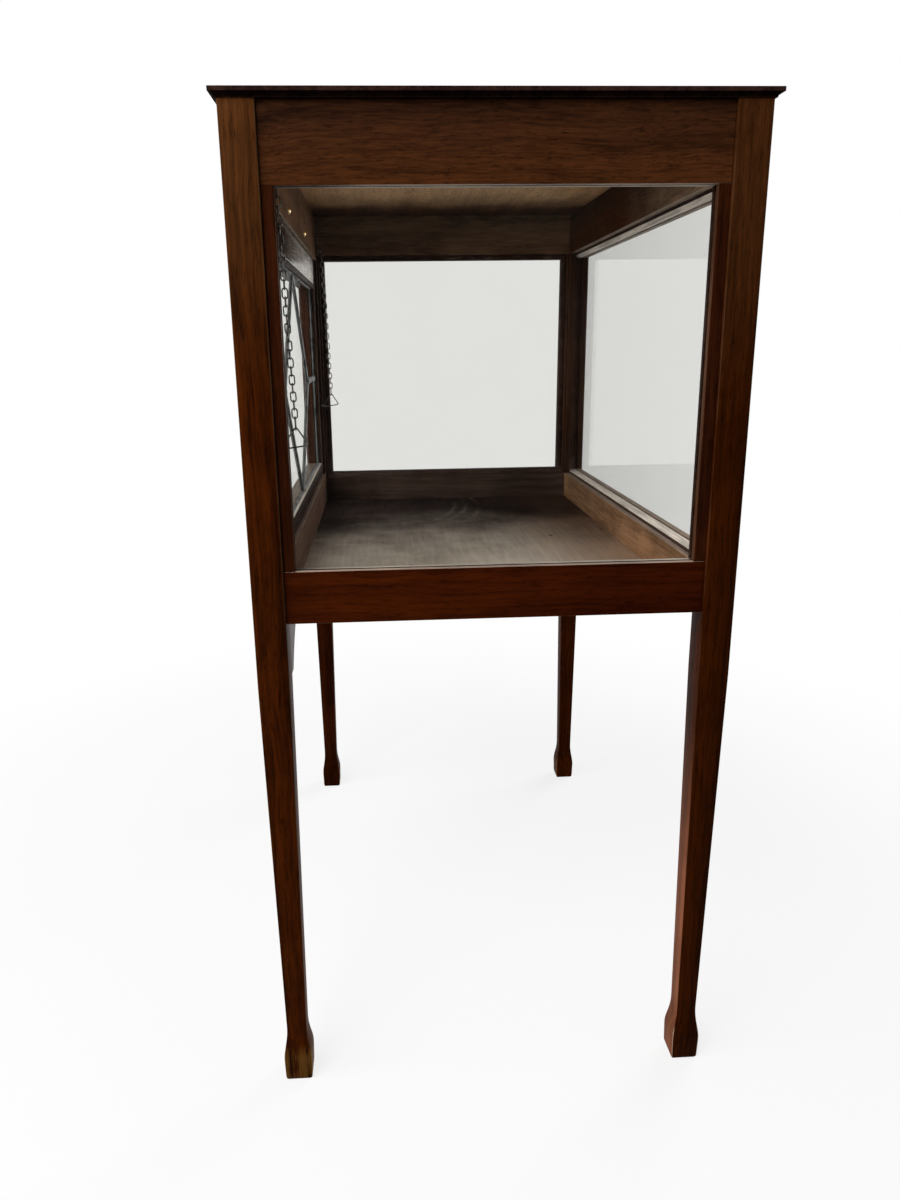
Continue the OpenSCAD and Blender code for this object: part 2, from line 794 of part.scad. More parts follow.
module flap_eyes() {
    for (side = [-1, 1]) translate([side * eye_x, eye_y, eye_z]) screw_eye(flap_eye_r);
}

// One oval link, long along Z and wide along X
module link(inner) {
    half = inner / 2 + link_wire_r - link_bend;
    for (side = [-1, 1]) {
        translate([0, 0, side * half]) rotate([side * 90, 0, 0])
            rotate_extrude(angle = 180) translate([link_bend, 0]) circle(r = link_wire_r);
        translate([side * link_bend, 0, -half]) cylinder(r = link_wire_r, h = 2 * half);
    }
}

// A chain from its rail eye down to the stay triangle, with every second link turned
module stay_chain(side) {
    color(steel) translate([side * eye_x, hook_y, hook_z]) rotate([chain_tilt, 0, 0]) {
        for (i = [0 : link_count - 1])
            translate([0, 0, -first_link - i * link_pitch])
                rotate([0, 0, i % 2 == 0 ? 90 : 0]) link(link_inner);
        translate([0, 0, -end_link]) link(end_link_inner);
    }
}

// Closed wire loop round three points, listed anticlockwise in the XY plane.
// The straight rods are a hair thinner than the bends and run a little way into them.
module wire_loop(points, bend, wire_r) {
    count = len(points);
    for (i = [0 : count - 1]) {
        p = points[i];
        q = points[(i + 1) % count];
        run = q - p;
        next = points[(i + 2) % count] - q;
        heading = atan2(run.y, run.x);
        turn = (atan2(next.y, next.x) - heading + 720) % 360;
        translate(p) rotate([0, 0, heading]) translate([-rod_lap, -bend, 0])
            rotate([0, 90, 0]) cylinder(r = wire_r - rod_step, h = norm(run) + 2 * rod_lap);
        translate(q) rotate([0, 0, heading - 90])
            rotate_extrude(angle = turn) translate([bend, 0]) circle(r = wire_r);
    }
}

// Triangle that links a chain's last link to its flap eye, upright across the flap
module stay_triangle(side) {
    color(steel) translate([side * eye_x, eye_y, eye_z]) rotate([90, 0, 90])
        wire_loop([[0, 0], [corner_reach, corner_rise], [apex_reach, apex_rise]], triangle_bend, triangle_r);
}

// A domed cap on z = 0, pointing up
module dome() {
    sphere_r = (dome_r * dome_r + dome_height * dome_height) / (2 * dome_height);
    intersection() {
        translate([0, 0, dome_height - sphere_r]) sphere(r = sphere_r);
        cylinder(r = dome_r, h = dome_height);
    }
}

// Bolts that the turn buttons turn on, with a domed head outside
module button_bolts() {
    color(brass) for (side = [-1, 1])
        translate([side * button_x, flap_face_y - button_thickness - 2 * button_gap, button_z]) union() {
            rotate([90, 0, 0]) dome();
            rotate([-90, 0, 0]) cylinder(r = bolt_r, h = bolt_length + nut_grip);
        }
}

// Domed nuts on the inner face of the front upper rail
module button_nuts() {
    color(brass) for (side = [-1, 1])
        translate([side * button_x, leg_side - half_depth, button_z]) rotate([-90, 0, 0]) difference() {
            dome();
            translate([0, 0, -cut_over]) cylinder(r = bolt_r + bolt_gap, h = cut_over + nut_grip + bolt_gap);
        }
}

// Turn button with round ends, lying level
module turn_button(side) {
    straight = button_length - button_width;
    color(brass) translate([side * button_x, flap_face_y - button_gap, button_z])
        rotate([90, 0, 0]) difference() {
            linear_extrude(button_thickness) {
                square([straight, button_width], center = true);
                for (end = [-1, 1]) translate([end * straight / 2, 0]) circle(d = button_width);
            }
            translate([0, 0, -cut_over]) cylinder(r = bolt_r + bolt_gap, h = button_thickness + 2 * cut_over);
        }
}

leg(leg_corners[0]);  // leg_front_right
leg(leg_corners[1]);  // leg_front_left
leg(leg_corners[2]);  // leg_back_right
leg(leg_corners[3]);  // leg_back_left
top_board();
top_dowels();
on_right() upper_rail(end_span, rebate_depth);  // upper_rail_right
on_left() upper_rail(end_span, rebate_depth);  // upper_rail_left
on_back() upper_rail(side_span, rebate_depth);  // upper_rail_back
upper_rail_front();
on_right() lower_rail(end_span, rebate_depth);  // lower_rail_right
on_left() lower_rail(end_span, rebate_depth);  // lower_rail_left
on_back() lower_rail(side_span, rebate_depth);  // lower_rail_back
lower_rail_front();
on_right() stiles(end_span);  // stiles_right
on_left() stiles(end_span);  // stiles_left
on_back() stiles(side_span);  // stiles_back
on_right() pane(end_span);  // glass_right
on_left() pane(end_span);  // glass_left
on_back() pane(side_span);  // glass_back
on_right() beads(end_span);  // beads_right
on_left() beads(end_span);  // beads_left
on_back() beads(side_span);  // beads_back
floor_board();
floor_screws();
bracket(1);  // bracket_right
bracket(-1);  // bracket_left
flap_stops();
placed_leaf(1, -1);  // hinge_case_leaf_right
placed_leaf(-1, -1);  // hinge_case_leaf_left
hinge_pins();
hinge_screws(-1);  // hinge_case_screws
rail_eyes();
button_bolts();
button_nuts();
flap_stile(1);  // flap_stile_right
flap_stile(-1);  // flap_stile_left
flap_top_rail();
flap_bottom_rail();
lead_cames();
leaded_panes();
flap_beads();
placed_leaf(1, 1);  // hinge_flap_leaf_right
placed_leaf(-1, 1);  // hinge_flap_leaf_left
hinge_screws(1);  // hinge_flap_screws
flap_eyes();
stay_chain(1);  // stay_chain_right
stay_chain(-1);  // stay_chain_left
stay_triangle(1);  // stay_triangle_right
stay_triangle(-1);  // stay_triangle_left
turn_button(1);  // turn_button_right
turn_button(-1);  // turn_button_left
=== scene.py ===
"""Dress the glazed oak display case: timber, glass, leaded light, brass fittings and chain stays."""

import functools
import json
import logging
import math
from dataclasses import dataclass, replace
from enum import Enum
from typing import Any, Iterable, Sequence

import bmesh
import bpy
from mathutils import Matrix, Vector

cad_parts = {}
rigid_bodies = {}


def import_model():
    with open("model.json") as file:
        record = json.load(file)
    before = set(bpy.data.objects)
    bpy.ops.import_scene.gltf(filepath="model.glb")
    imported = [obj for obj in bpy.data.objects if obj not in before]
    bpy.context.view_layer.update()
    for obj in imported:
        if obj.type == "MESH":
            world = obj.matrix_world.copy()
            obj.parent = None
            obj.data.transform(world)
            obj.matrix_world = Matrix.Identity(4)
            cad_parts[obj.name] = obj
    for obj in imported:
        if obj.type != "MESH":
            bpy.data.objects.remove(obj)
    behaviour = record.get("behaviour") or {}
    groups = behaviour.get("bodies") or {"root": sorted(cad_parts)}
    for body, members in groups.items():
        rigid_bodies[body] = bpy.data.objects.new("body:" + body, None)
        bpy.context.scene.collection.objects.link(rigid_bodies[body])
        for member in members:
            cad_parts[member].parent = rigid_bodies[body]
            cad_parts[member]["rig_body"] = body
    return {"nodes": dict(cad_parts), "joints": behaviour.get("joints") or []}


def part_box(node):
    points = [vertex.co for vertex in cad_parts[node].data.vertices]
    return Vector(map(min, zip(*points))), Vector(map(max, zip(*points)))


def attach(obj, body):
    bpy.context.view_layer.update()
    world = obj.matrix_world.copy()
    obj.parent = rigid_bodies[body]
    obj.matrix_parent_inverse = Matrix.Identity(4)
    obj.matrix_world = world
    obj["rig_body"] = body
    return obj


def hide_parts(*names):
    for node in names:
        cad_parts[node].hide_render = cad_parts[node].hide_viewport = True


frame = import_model()

LOG = logging.getLogger("display_case")
MM = 0.001
SIDES = ("right", "left")
# Points of a CAD mesh closer than this are one point
MERGE = 0.001 * MM
# A face looks inward, or lies level, when its normal has at least this part in that direction
INWARD = 0.7
LEVEL = 0.6
# Dust and painted light on upright faces inside the case, and on its level faces, undersides included: both
# colours are made paler to stand in for light falling there
DUST_AND_LIGHT = "#8d6e54"
LEDGE_DUST_AND_LIGHT = "#b39d8c"

Number = "Value | float"
Paint = tuple[float, float, float]


def paint(code: str) -> Paint:
    """Turn a hex colour as the eye sees it into linear light.

    Args:
        code: Six hex digits after a hash sign.

    Returns:
        Red, green and blue in linear light.
    """
    levels = [int(code[i:i + 2], 16) / 255 for i in (1, 3, 5)]
    return tuple(v / 12.92 if v <= 0.04045 else ((v + 0.055) / 1.055) ** 2.4 for v in levels)


class Value:
    """A socket that takes part in Python expressions and adds the Math nodes they need."""

    def __init__(self, graph: "Graph", socket: bpy.types.NodeSocket) -> None:
        """Keep the socket and the graph that it belongs to."""
        self.graph = graph
        self.socket = socket

    def __add__(self, other: Number) -> "Value":
        """Return self plus other."""
        return self.graph.math("ADD", self, other)

    def __radd__(self, other: Number) -> "Value":
        """Return other plus self."""
        return self.graph.math("ADD", other, self)

    def __sub__(self, other: Number) -> "Value":
        """Return self minus other."""
        return self.graph.math("SUBTRACT", self, other)

    def __rsub__(self, other: Number) -> "Value":
        """Return other minus self."""
        return self.graph.math("SUBTRACT", other, self)

    def __mul__(self, other: Number) -> "Value":
        """Return self times other."""
        return self.graph.math("MULTIPLY", self, other)

    def __rmul__(self, other: Number) -> "Value":
        """Return other times self."""
        return self.graph.math("MULTIPLY", other, self)

    def __truediv__(self, other: Number) -> "Value":
        """Return self divided by other."""
        return self.graph.math("DIVIDE", self, other)

    def __rtruediv__(self, other: Number) -> "Value":
        """Return other divided by self."""
        return self.graph.math("DIVIDE", other, self)

    def __pow__(self, power: float) -> "Value":
        """Return self raised to a power."""
        return self.graph.math("POWER", self, power)

    def __abs__(self) -> "Value":
        """Return the size of self without its sign."""
        return self.graph.math("ABSOLUTE", self)

    def __lt__(self, other: Number) -> "Value":
        """Return 1 where self is below other, and 0 elsewhere."""
        return self.graph.math("LESS_THAN", self, other)

    def __gt__(self, other: Number) -> "Value":
        """Return 1 where self is above other, and 0 elsewhere."""
        return self.graph.math("GREATER_THAN", self, other)


class Graph:
    """A node tree that is filled from Python expressions."""

    def __init__(self, tree: bpy.types.NodeTree) -> None:
        """Keep the tree that the nodes go into."""
        self.tree = tree

    def node(
        self, kind: str, settings: dict[str, Any] | None = None, sockets: dict[str | int, Any] | None = None
    ) -> bpy.types.Node:
        """Add one node, with its settings made before its sockets.

        Args:
            kind: The node's type.
            settings: Properties of the node by name.
            sockets: Values or links for its inputs, by name or index. A list links several to one input.

        Returns:
            The new node.
        """
        node = self.tree.nodes.new(kind)
        for name, setting in (settings or {}).items():
            setattr(node, name, setting)
        for key, given in (sockets or {}).items():
            socket = node.inputs[key]
            if isinstance(given, Value):
                self.tree.links.new(given.socket, socket)
            elif isinstance(given, list):
                for each in given:
                    self.tree.links.new(each.socket, socket)
            elif socket.type == "RGBA" and len(given) == 3:
                socket.default_value = (*given, 1.0)
            else:
                socket.default_value = given
        return node

    def value(
        self,
        kind: str,
        settings: dict[str, Any] | None = None,
        sockets: dict[str | int, Any] | None = None,
        output: str | int = 0,
    ) -> Value:
        """Add one node as node() does, and return the named output of it as a Value."""
        return Value(self, self.node(kind, settings, sockets).outputs[output])

    def math(self, operation: str, *terms: Number) -> Value:
        """Add a Math node for these terms."""
        return self.value("ShaderNodeMath", {"operation": operation}, dict(enumerate(terms)))

    def least(self, first: Number, second: Number) -> Value:
        """Return the smaller of two numbers."""
        return self.math("MINIMUM", first, second)

    def most(self, first: Number, second: Number) -> Value:
        """Return the larger of two numbers."""
        return self.math("MAXIMUM", first, second)

    def vector(self, operation: str, *terms: Any, output: str | int = 0) -> Value:
        """Add a Vector Math node for these terms."""
        return self.value("ShaderNodeVectorMath", {"operation": operation}, dict(enumerate(terms)), output)

    def mix(self, share: Number, first: Any, second: Any, blend: str = "MIX") -> Value:
        """Blend two colours by a share from 0, all the first, to 1, all the second."""
        settings = {"data_type": "RGBA", "blend_type": blend}
        return self.value("ShaderNodeMix", settings, {0: share, 6: first, 7: second}, 2)

    def ease(self, amount: Value, low: float, high: float) -> Value:
        """Return a smooth step from 0 at low to 1 at high."""
        sockets = {"Value": amount, "From Min": low, "From Max": high}
        return self.value("ShaderNodeMapRange", {"interpolation_type": "SMOOTHSTEP"}, sockets)

    def noise(self, where: Value, scale: float, detail: float = 4.0, rough: float = 0.6) -> Value:
        """Return cloudy noise from 0 to 1 at a scale of features per metre."""
        sockets = {"Vector": where, "Scale": scale, "Detail": detail, "Roughness": rough}
        return self.value("ShaderNodeTexNoise", None, sockets)

    def attribute(self, name: str) -> Value:
        """Return the mesh attribute of that name."""
        return self.value("ShaderNodeAttribute", {"attribute_name": name}, None, "Fac")

    def position(self) -> Value:
        """Return the place on the piece in the shared frame, in metres."""
        return self.value("ShaderNodeTexCoord", None, None, "Object")

    def axis(self, vector: Value, letter: str) -> Value:
        """Return one part of a vector: X, Y or Z."""
        return self.value("ShaderNodeSeparateXYZ", None, {0: vector}, letter)

    def xyz(self, **parts: Number) -> Value:
        """Return a vector from its parts X, Y and Z, each 0 if not given."""
        return self.value("ShaderNodeCombineXYZ", None, parts)

    def bump(self, strength: float, distance: float, height: Value) -> Value:
        """Return the normals of a surface with fine relief."""
        sockets = {"Strength": strength, "Distance": distance, "Height": height}
        return self.value("ShaderNodeBump", None, sockets)

    def blend(self, share: Number, first: Value, second: Value) -> Value:
        """Blend two shaders by a share from 0, all the first, to 1, all the second."""
        return self.value("ShaderNodeMixShader", None, {0: share, 1: first, 2: second})

    def principled(self, sockets: dict[str, Any]) -> None:
        """End a material with a Principled shader."""
        self.surface(self.value("ShaderNodeBsdfPrincipled", None, sockets))

    def surface(self, shader: Value) -> None:
        """End a material with this shader."""
        self.node("ShaderNodeOutputMaterial", None, {"Surface": shader})


def new_material(name: str) -> tuple[bpy.types.Material, Graph]:
    """Make an empty node material.

    Args:
        name: The material's name.

    Returns:
        The material and the graph of its tree.
    """
    material = bpy.data.materials.new(name)
    material.use_nodes = True
    material.node_tree.nodes.clear()
    return material, Graph(material.node_tree)


class Grain(Enum):
    """The axis that a board's fibres run along."""

    LENGTH = 0
    DEPTH = 1
    UPRIGHT = 2


@dataclass(frozen=True)
class Veil:
    """A second colour over the stain, which comes in gradually along one axis: dust, and painted light and
    shade.
    """

    colour: str
    strength: float = 0.0
    axis: Grain = Grain.UPRIGHT
    start: float = -2.0
    end: float = -1.0
    figure: float = 0.9
    ragged: float = 80 * MM

    def share(self, graph: Graph, place: Value, mottle: Value) -> Value:
        """Return how much of the veil shows at a place, with a ragged border."""
        along = graph.axis(place, "XYZ"[self.axis.value])
        return self.strength * graph.ease(along + self.ragged * (mottle - 0.5), self.start, self.end)

    def tint(self, graph: Graph, tone: Value) -> Value:
        """Return the veil's colour with the grain showing through."""
        shade = 1.0 - 0.5 * self.figure + self.figure * tone
        return graph.mix(1.0, paint(self.colour), shade, "MULTIPLY")


@dataclass(frozen=True)
class OakFinish:
    """Stained oak: bands, fibres and pores along the grain, rubbed arrises with a painted highlight at the
    feet of one leg, dust and painted light inside the case, and painted light and shade along one axis.
    """

    name: str
    dark: str
    light: str
    # The first veil is painted light and shade along one axis; the second, on inner faces, and the third, on
    # level faces, are dust and painted light.
    painted_light: Veil = Veil("#5f3411")
    haze_veil: Veil = Veil(DUST_AND_LIGHT)
    ledge: Veil = Veil(LEDGE_DUST_AND_LIGHT)
    worn_and_highlight: str = "#8a6240"
    wear: float = 0.5
    scuff: float = 0.0
    roughness: float = 0.4
    ior: float = 1.06
    band_scale: float = 55.0
    fibre_scale: float = 300.0
    pore_scale: float = 1000.0
    fleck_scale: float = 240.0
    mottle_scale: float = 13.0
    stretch: float = 0.04
    flecks: float = 0.3
    sway: float = 9 * MM
    sway_scale: float = 11.0
    foot_height: float = 50 * MM
    foot_fade: float = 20 * MM
    relief: float = 0.3 * MM
    relief_strength: float = 0.3
    pore_range: tuple[float, float] = (0.54, 0.68)
    fleck_range: tuple[float, float] = (0.55, 0.68)
    tone_range: tuple[float, float] = (0.38, 0.72)
    wear_range: tuple[float, float] = (0.38, 0.58)
    scuff_range: tuple[float, float] = (0.42, 0.56)

    def fibres(self, graph: Graph, grain: Grain, place: Value, stretch: float, scale: float) -> Value:
        """Return noise that is drawn out along the grain.

        Args:
            graph: The material's graph.
            grain: The axis of the fibres.
            place: The place on the piece.
            stretch: Width of a streak as a share of its length.
            scale: Streaks per metre across the grain.

        Returns:
            A value from 0 to 1.
        """
        along = tuple(stretch if axis is grain else 1.0 for axis in Grain)
        drawn = graph.value("ShaderNodeMapping", None, {"Vector": place, "Scale": along})
        return graph.noise(drawn, scale)

    @functools.cache
    def material(self, grain: Grain) -> bpy.types.Material:
        """Build the finish for boards of one direction.

        Args:
            grain: The axis of the fibres.

        Returns:
            The node material.
        """
        material, graph = new_material(f"{self.name}_{grain.name.lower()}")
        place = graph.position()
        sockets = {"Vector": place, "Scale": self.sway_scale, "Detail": 1.0}
        sway = graph.value("ShaderNodeTexNoise", None, sockets, "Color")
        drift = graph.vector("MULTIPLY", graph.vector("SUBTRACT", sway, (0.5,) * 3), (self.sway,) * 3)
        swayed = graph.vector("ADD", place, drift)

        bands = self.fibres(graph, grain, swayed, 0.6 * self.stretch, self.band_scale)
        streaks = self.fibres(graph, grain, swayed, self.stretch, self.fibre_scale)
        pores = self.fibres(graph, grain, swayed, 1.5 * self.stretch, self.pore_scale)
        pores = graph.ease(pores, *self.pore_range)
        ticks = self.fibres(graph, grain, swayed, 5 * self.stretch, self.fleck_scale)
        ticks = graph.ease(ticks, *self.fleck_range)
        mottle = graph.noise(place, self.mottle_scale, 3.0)
        tone = graph.ease(0.45 * bands + 0.45 * streaks + 0.2 * mottle, *self.tone_range)
        colour = graph.mix(tone, paint(self.dark), paint(self.light))
        # Painted light and shade: a paler or darker colour, by finish, coming in along one axis.
        colour = graph.mix(self.painted_light.share(graph, place, mottle), colour, self.painted_light.tint(graph, tone))
        depth = 0.5 * pores + self.flecks * ticks
        colour = graph.mix(1.0, colour, 1.0 - depth, "MULTIPLY")

        foot = graph.ease(self.foot_height - graph.axis(place, "Z"), 0.0, self.foot_fade)
        patchy = graph.ease(mottle, *self.wear_range)
        scuffs = self.scuff * graph.ease(0.5 * mottle + 0.5 * streaks, *self.scuff_range)
        # Rubbed arrises, always full at the feet; where the worn colour is near white, as on the near right
        # leg, this is a painted highlight on the foot's arrises.
        rubbed_and_highlight = graph.attribute("arris") * graph.most(self.wear * patchy, 0.9 * foot) + 0.42 * foot * scuffs
        colour = graph.mix(graph.least(rubbed_and_highlight, 1.0), colour, paint(self.worn_and_highlight))
        # Inner faces take a veil of dust and painted light, paler on some pieces and darker on others, where
        # light or shade falls inside the case.
        haze_and_light = graph.attribute("indoors") * (0.6 + 0.6 * mottle) * self.haze_veil.share(graph, place, mottle)
        colour = graph.mix(graph.least(haze_and_light, 1.0), colour, self.haze_veil.tint(graph, tone))
        # Level faces take a veil of dust and painted light; on undersides, where no dust lies, the pale veil
        # is a painted highlight.
        settled_and_lit = graph.attribute("ledge") * self.ledge.share(graph, place, mottle)
        colour = graph.mix(settled_and_lit, colour, self.ledge.tint(graph, tone))

        relief = streaks * 0.4 - pores * 0.5 - ticks * 0.2
        graph.principled({
            "Base Color": colour,
            "Roughness": self.roughness + 0.16 * depth + 0.1 * haze_and_light,
            "IOR": self.ior,
            "Normal": graph.bump(self.relief_strength, self.relief, relief),
        })
        return material


@dataclass(frozen=True)
class FloorFinish:
    """The dull floor of the case: painted paler towards the near end and darker along the front side as
    painted light and shade, with specks and faint curved marks.
    """

    name: str = "floor_of_case"
    dark: str = "#2a2120"
    light: str = "#4b3e3b"
    # Painted light: the floor's colours where light falls in at the near end.
    lit_floor_dark: str = "#b9ad9f"
    lit_floor_light: str = "#ece2d5"
    mark: str = "#c4b7a6"
    speck: str = "#1b1512"
    lit_from: float = -0.25
    lit_to: float = 0.14
    side_share: float = 0.35
    brown_from: float = 0.02
    brown_to: float = 0.22
    brown: str = "#a58a74"
    brown_dark: str = "#553a29"
    stretch: float = 0.08
    streak_scale: float = 150.0
    cloud_scale: float = 7.0
    speck_scale: float = 11.0
    speck_size: float = 0.05
    speck_fade: float = 0.02
    # Middle along X and Y, and radius, of each curved mark
    rings: tuple[tuple[float, float, float], ...] = (
        (-0.30, -0.30, 0.31), (-0.30, -0.30, 0.33), (-0.28, -0.31, 0.36),
    )
    mark_width: float = 7 * MM
    mark_range: tuple[float, float] = (0.40, 0.62)
    tone_range: tuple[float, float] = (0.30, 0.82)
    roughness: float = 0.45
    relief: float = 0.4 * MM
    relief_strength: float = 0.25

    @functools.cache
    def material(self) -> bpy.types.Material:
        """Build the floor's node material."""
        material, graph = new_material(self.name)
        place = graph.position()
        drawn = graph.value("ShaderNodeMapping", None, {"Vector": place, "Scale": (self.stretch, 1.0, 1.0)})
        streaks = graph.noise(drawn, self.streak_scale, 5.0)
        cloud = graph.noise(place, self.cloud_scale)
        tone = graph.ease(0.4 * streaks + 0.7 * cloud, *self.tone_range)
        along, across = graph.axis(place, "X"), graph.axis(place, "Y")
        # Painted light and shade: paler towards the near end, darker along the front side.
        lit_share = graph.ease(
            along + self.side_share * graph.least(across, 0.0) + 0.25 * (cloud - 0.5),
            self.lit_from, self.lit_to,
        )
        plain = graph.mix(tone, paint(self.dark), paint(self.light))
        pale = graph.mix(tone, paint(self.lit_floor_dark), paint(self.lit_floor_light))
        warm = graph.ease(across + 0.2 * (cloud - 0.5), self.brown_from, self.brown_to)
        plain = graph.mix(0.6 * warm, plain, paint(self.brown_dark))
        pale = graph.mix(warm, pale, graph.mix(1.0, paint(self.brown), 0.7 + 0.6 * tone, "MULTIPLY"))
        colour = graph.mix(lit_share, plain, pale)

        marks: Number = 0.0
        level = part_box("floor_board")[1].z
        for x, y, radius in self.rings:
            reach = graph.vector("DISTANCE", place, (x, y, level), output="Value")
            marks = marks + graph.ease(self.mark_width - abs(reach - radius), 0.0, self.mark_width)
        faint = 0.16 * marks * graph.ease(cloud, *self.mark_range)
        colour = graph.mix(graph.least(faint, 1.0), colour, paint(self.mark))

        cells = graph.value("ShaderNodeTexVoronoi", None, {"Vector": place, "Scale": self.speck_scale})
        specks = graph.ease(self.speck_size - cells, 0.0, self.speck_fade)
        colour = graph.mix(0.8 * specks, colour, paint(self.speck))

        graph.principled({
            "Base Color": colour,
            "Roughness": self.roughness + 0.2 * cloud,
            "Specular IOR Level": 0.0,
            "Normal": graph.bump(self.relief_strength, self.relief, streaks),
        })
        return material


@dataclass(frozen=True)
class GlassFinish:
    """Thin window glass: clear with a slight tint, a mirror at low angles, and a little dust."""

    name: str
    tint: str
    film: float
    ripple: float
    head_on: float = 0.001
    grazing: float = 0.7
    falloff: float = 5.0
    roughness: float = 0.03
    wave_scale: float = 22.0
    wave_height: float = 2 * MM
    haze_veil: str = "#b9b6ae"
    dust_scale: float = 11.0
    dust_range: tuple[float, float] = (0.30, 0.75)

    @functools.cache
    def material(self) -> bpy.types.Material:
        """Build the glass's node material."""
        material, graph = new_material(self.name)
        place = graph.position()
        waves = graph.bump(self.ripple, self.wave_height, graph.noise(place, self.wave_scale, 1.0, 0.5))
        clear = graph.value("ShaderNodeBsdfTransparent", None, {"Color": paint(self.tint)})
        gloss = graph.value("ShaderNodeBsdfGlossy", None, {"Roughness": self.roughness, "Normal": waves})
        facing = graph.value("ShaderNodeLayerWeight", None, {"Blend": 0.5}, "Facing")
        pane = graph.blend(self.head_on + self.grazing * facing ** self.falloff, clear, gloss)
        cloud = graph.ease(graph.noise(place, self.dust_scale), *self.dust_range)
        haze_veil = graph.value("ShaderNodeBsdfDiffuse", None, {"Color": paint(self.haze_veil)})
        graph.surface(graph.blend(self.film * cloud, pane, haze_veil))
        return material


@dataclass(frozen=True)
class MetalFinish:
    """Metal with a patina in patches."""

    name: str
    bright: str
    dull: str
    metallic: float
    roughness: float
    patch_scale: float
    patches: tuple[float, float] = (0.42, 0.62)
    fineness: float = 8.0
    relief: float = 0.2 * MM
    relief_strength: float = 0.2

    @functools.cache
    def material(self) -> bpy.types.Material:
        """Build the metal's node material."""
        material, graph = new_material(self.name)
        place = graph.position()
        patina = graph.ease(graph.noise(place, self.patch_scale), *self.patches)
        grit = graph.noise(place, self.fineness * self.patch_scale, 2.0, 0.5)
        graph.principled({
            "Base Color": graph.mix(patina, paint(self.bright), paint(self.dull)),
            "Metallic": self.metallic,
            "Roughness": self.roughness + 0.22 * patina + 0.08 * grit,
            "Normal": graph.bump(self.relief_strength, self.relief, grit),
        })
        return material


# Posts: tops painted lighter, painted light; inner faces inside the case with dust and painted light.
POST_OAK = OakFinish(
    "post_oak", "#1b0801", "#491e04", wear=0.15,
    painted_light=Veil("#553217", 0.75, Grain.UPRIGHT, 0.80, 1.0),
    haze_veil=Veil(DUST_AND_LIGHT, 0.3, Grain.UPRIGHT, 0.56, 0.58),
)
SCUFFED_POST_OAK = replace(POST_OAK, name="scuffed_post_oak", scuff=0.75, worn_and_highlight="#83602c")
SHADED_POST_OAK = replace(POST_OAK, name="shaded_post_oak", dark="#120400", light="#341303")
# Near right leg: a darker stain as painted shade, a paler top as painted light, inner faces paler towards the
# foot as painted light, and near white foot arrises as a painted highlight.
BACK_POST_OAK = replace(
    POST_OAK, name="back_post_oak", dark="#160600", light="#3d1802",
    painted_light=Veil("#492a14", 0.6, Grain.UPRIGHT, 0.75, 1.0),
    haze_veil=Veil("#70442f", 1.0, Grain.UPRIGHT, 0.46, 0.22), worn_and_highlight="#ecc7aa", wear=0.02,
)
# Upper rails: the lower part painted paler and the top darker under the overhang, painted light and shade;
# level faces, undersides included, paler away from the far end, dust and a painted highlight.
UPPER_RAIL_OAK = OakFinish(
    "upper_rail_oak", "#1b0d07", "#452715", stretch=0.06, fibre_scale=420.0, sway=14 * MM,
    painted_light=Veil("#512c13", 0.45, Grain.UPRIGHT, 1.045, 0.995), haze_veil=Veil(DUST_AND_LIGHT, 0.55),
    ledge=Veil("#c2b09d", 0.55, Grain.LENGTH, -0.36, -0.30),
)
# Near upper rail: its level faces paler towards the back side, dust and a painted highlight.
NEAR_UPPER_OAK = replace(
    UPPER_RAIL_OAK, name="near_upper_oak", light="#412413",
    ledge=Veil("#c2b09d", 0.45, Grain.DEPTH, -0.20, -0.08),
)
# Back upper rail: inner faces paler towards the near end, painted light.
BACK_UPPER_OAK = replace(
    UPPER_RAIL_OAK, name="back_upper_oak", haze_veil=Veil("#ad947b", 0.75, Grain.LENGTH, -0.02, 0.34)
)
# Lower rails: darker towards the back side, painted shade; their tops paler, dust and painted light.
LOWER_RAIL_OAK = OakFinish(
    "lower_rail_oak", "#270b02", "#461a04", painted_light=Veil("#2c0b01", 0.7, Grain.DEPTH, -0.02, 0.2),
    haze_veil=Veil(DUST_AND_LIGHT, 0.9), ledge=Veil(LEDGE_DUST_AND_LIGHT, 0.8),
)
# Back lower rail: a paler inner face, painted light.
BACK_LOWER_OAK = replace(LOWER_RAIL_OAK, name="back_lower_oak", haze_veil=Veil("#a8805f", 0.95))
FRONT_LOWER_OAK = replace(LOWER_RAIL_OAK, name="front_lower_oak", haze_veil=Veil("#675142", 0.8))
# Far lower rail: a darker stain as painted shade, its inner face paler away from the front end as painted
# light.
FAR_LOWER_OAK = replace(
    LOWER_RAIL_OAK, name="far_lower_oak", dark="#160a06", light="#2b1810",
    haze_veil=Veil("#55443c", 0.9, Grain.DEPTH, -0.26, -0.06), ledge=Veil("#55443c", 0.5),
)
STILE_OAK = OakFinish("stile_oak", "#1c0903", "#3a1909", haze_veil=Veil(DUST_AND_LIGHT, 0.1))
TOP_OAK = OakFinish("top_oak", "#1a0e0c", "#38231d", worn_and_highlight="#6b5646", wear=0.8)
# Painted shade: the near black cove under the top's overhang.
COVE_OAK = OakFinish("cove_oak", "#060302", "#170c07", wear=0.0, ior=1.02)
# Painted light: the top's underside over the case, paler towards the near end.
CEILING_OAK = OakFinish(
    "ceiling_oak", "#2a160c", "#573720", wear=0.0,
    painted_light=Veil("#e0b485", 1.0, Grain.LENGTH, -0.30, -0.11, figure=0.35),
)
BRACKET_OAK = OakFinish("bracket_oak", "#1d0902", "#4a2107", wear=0.3, ior=1.2)
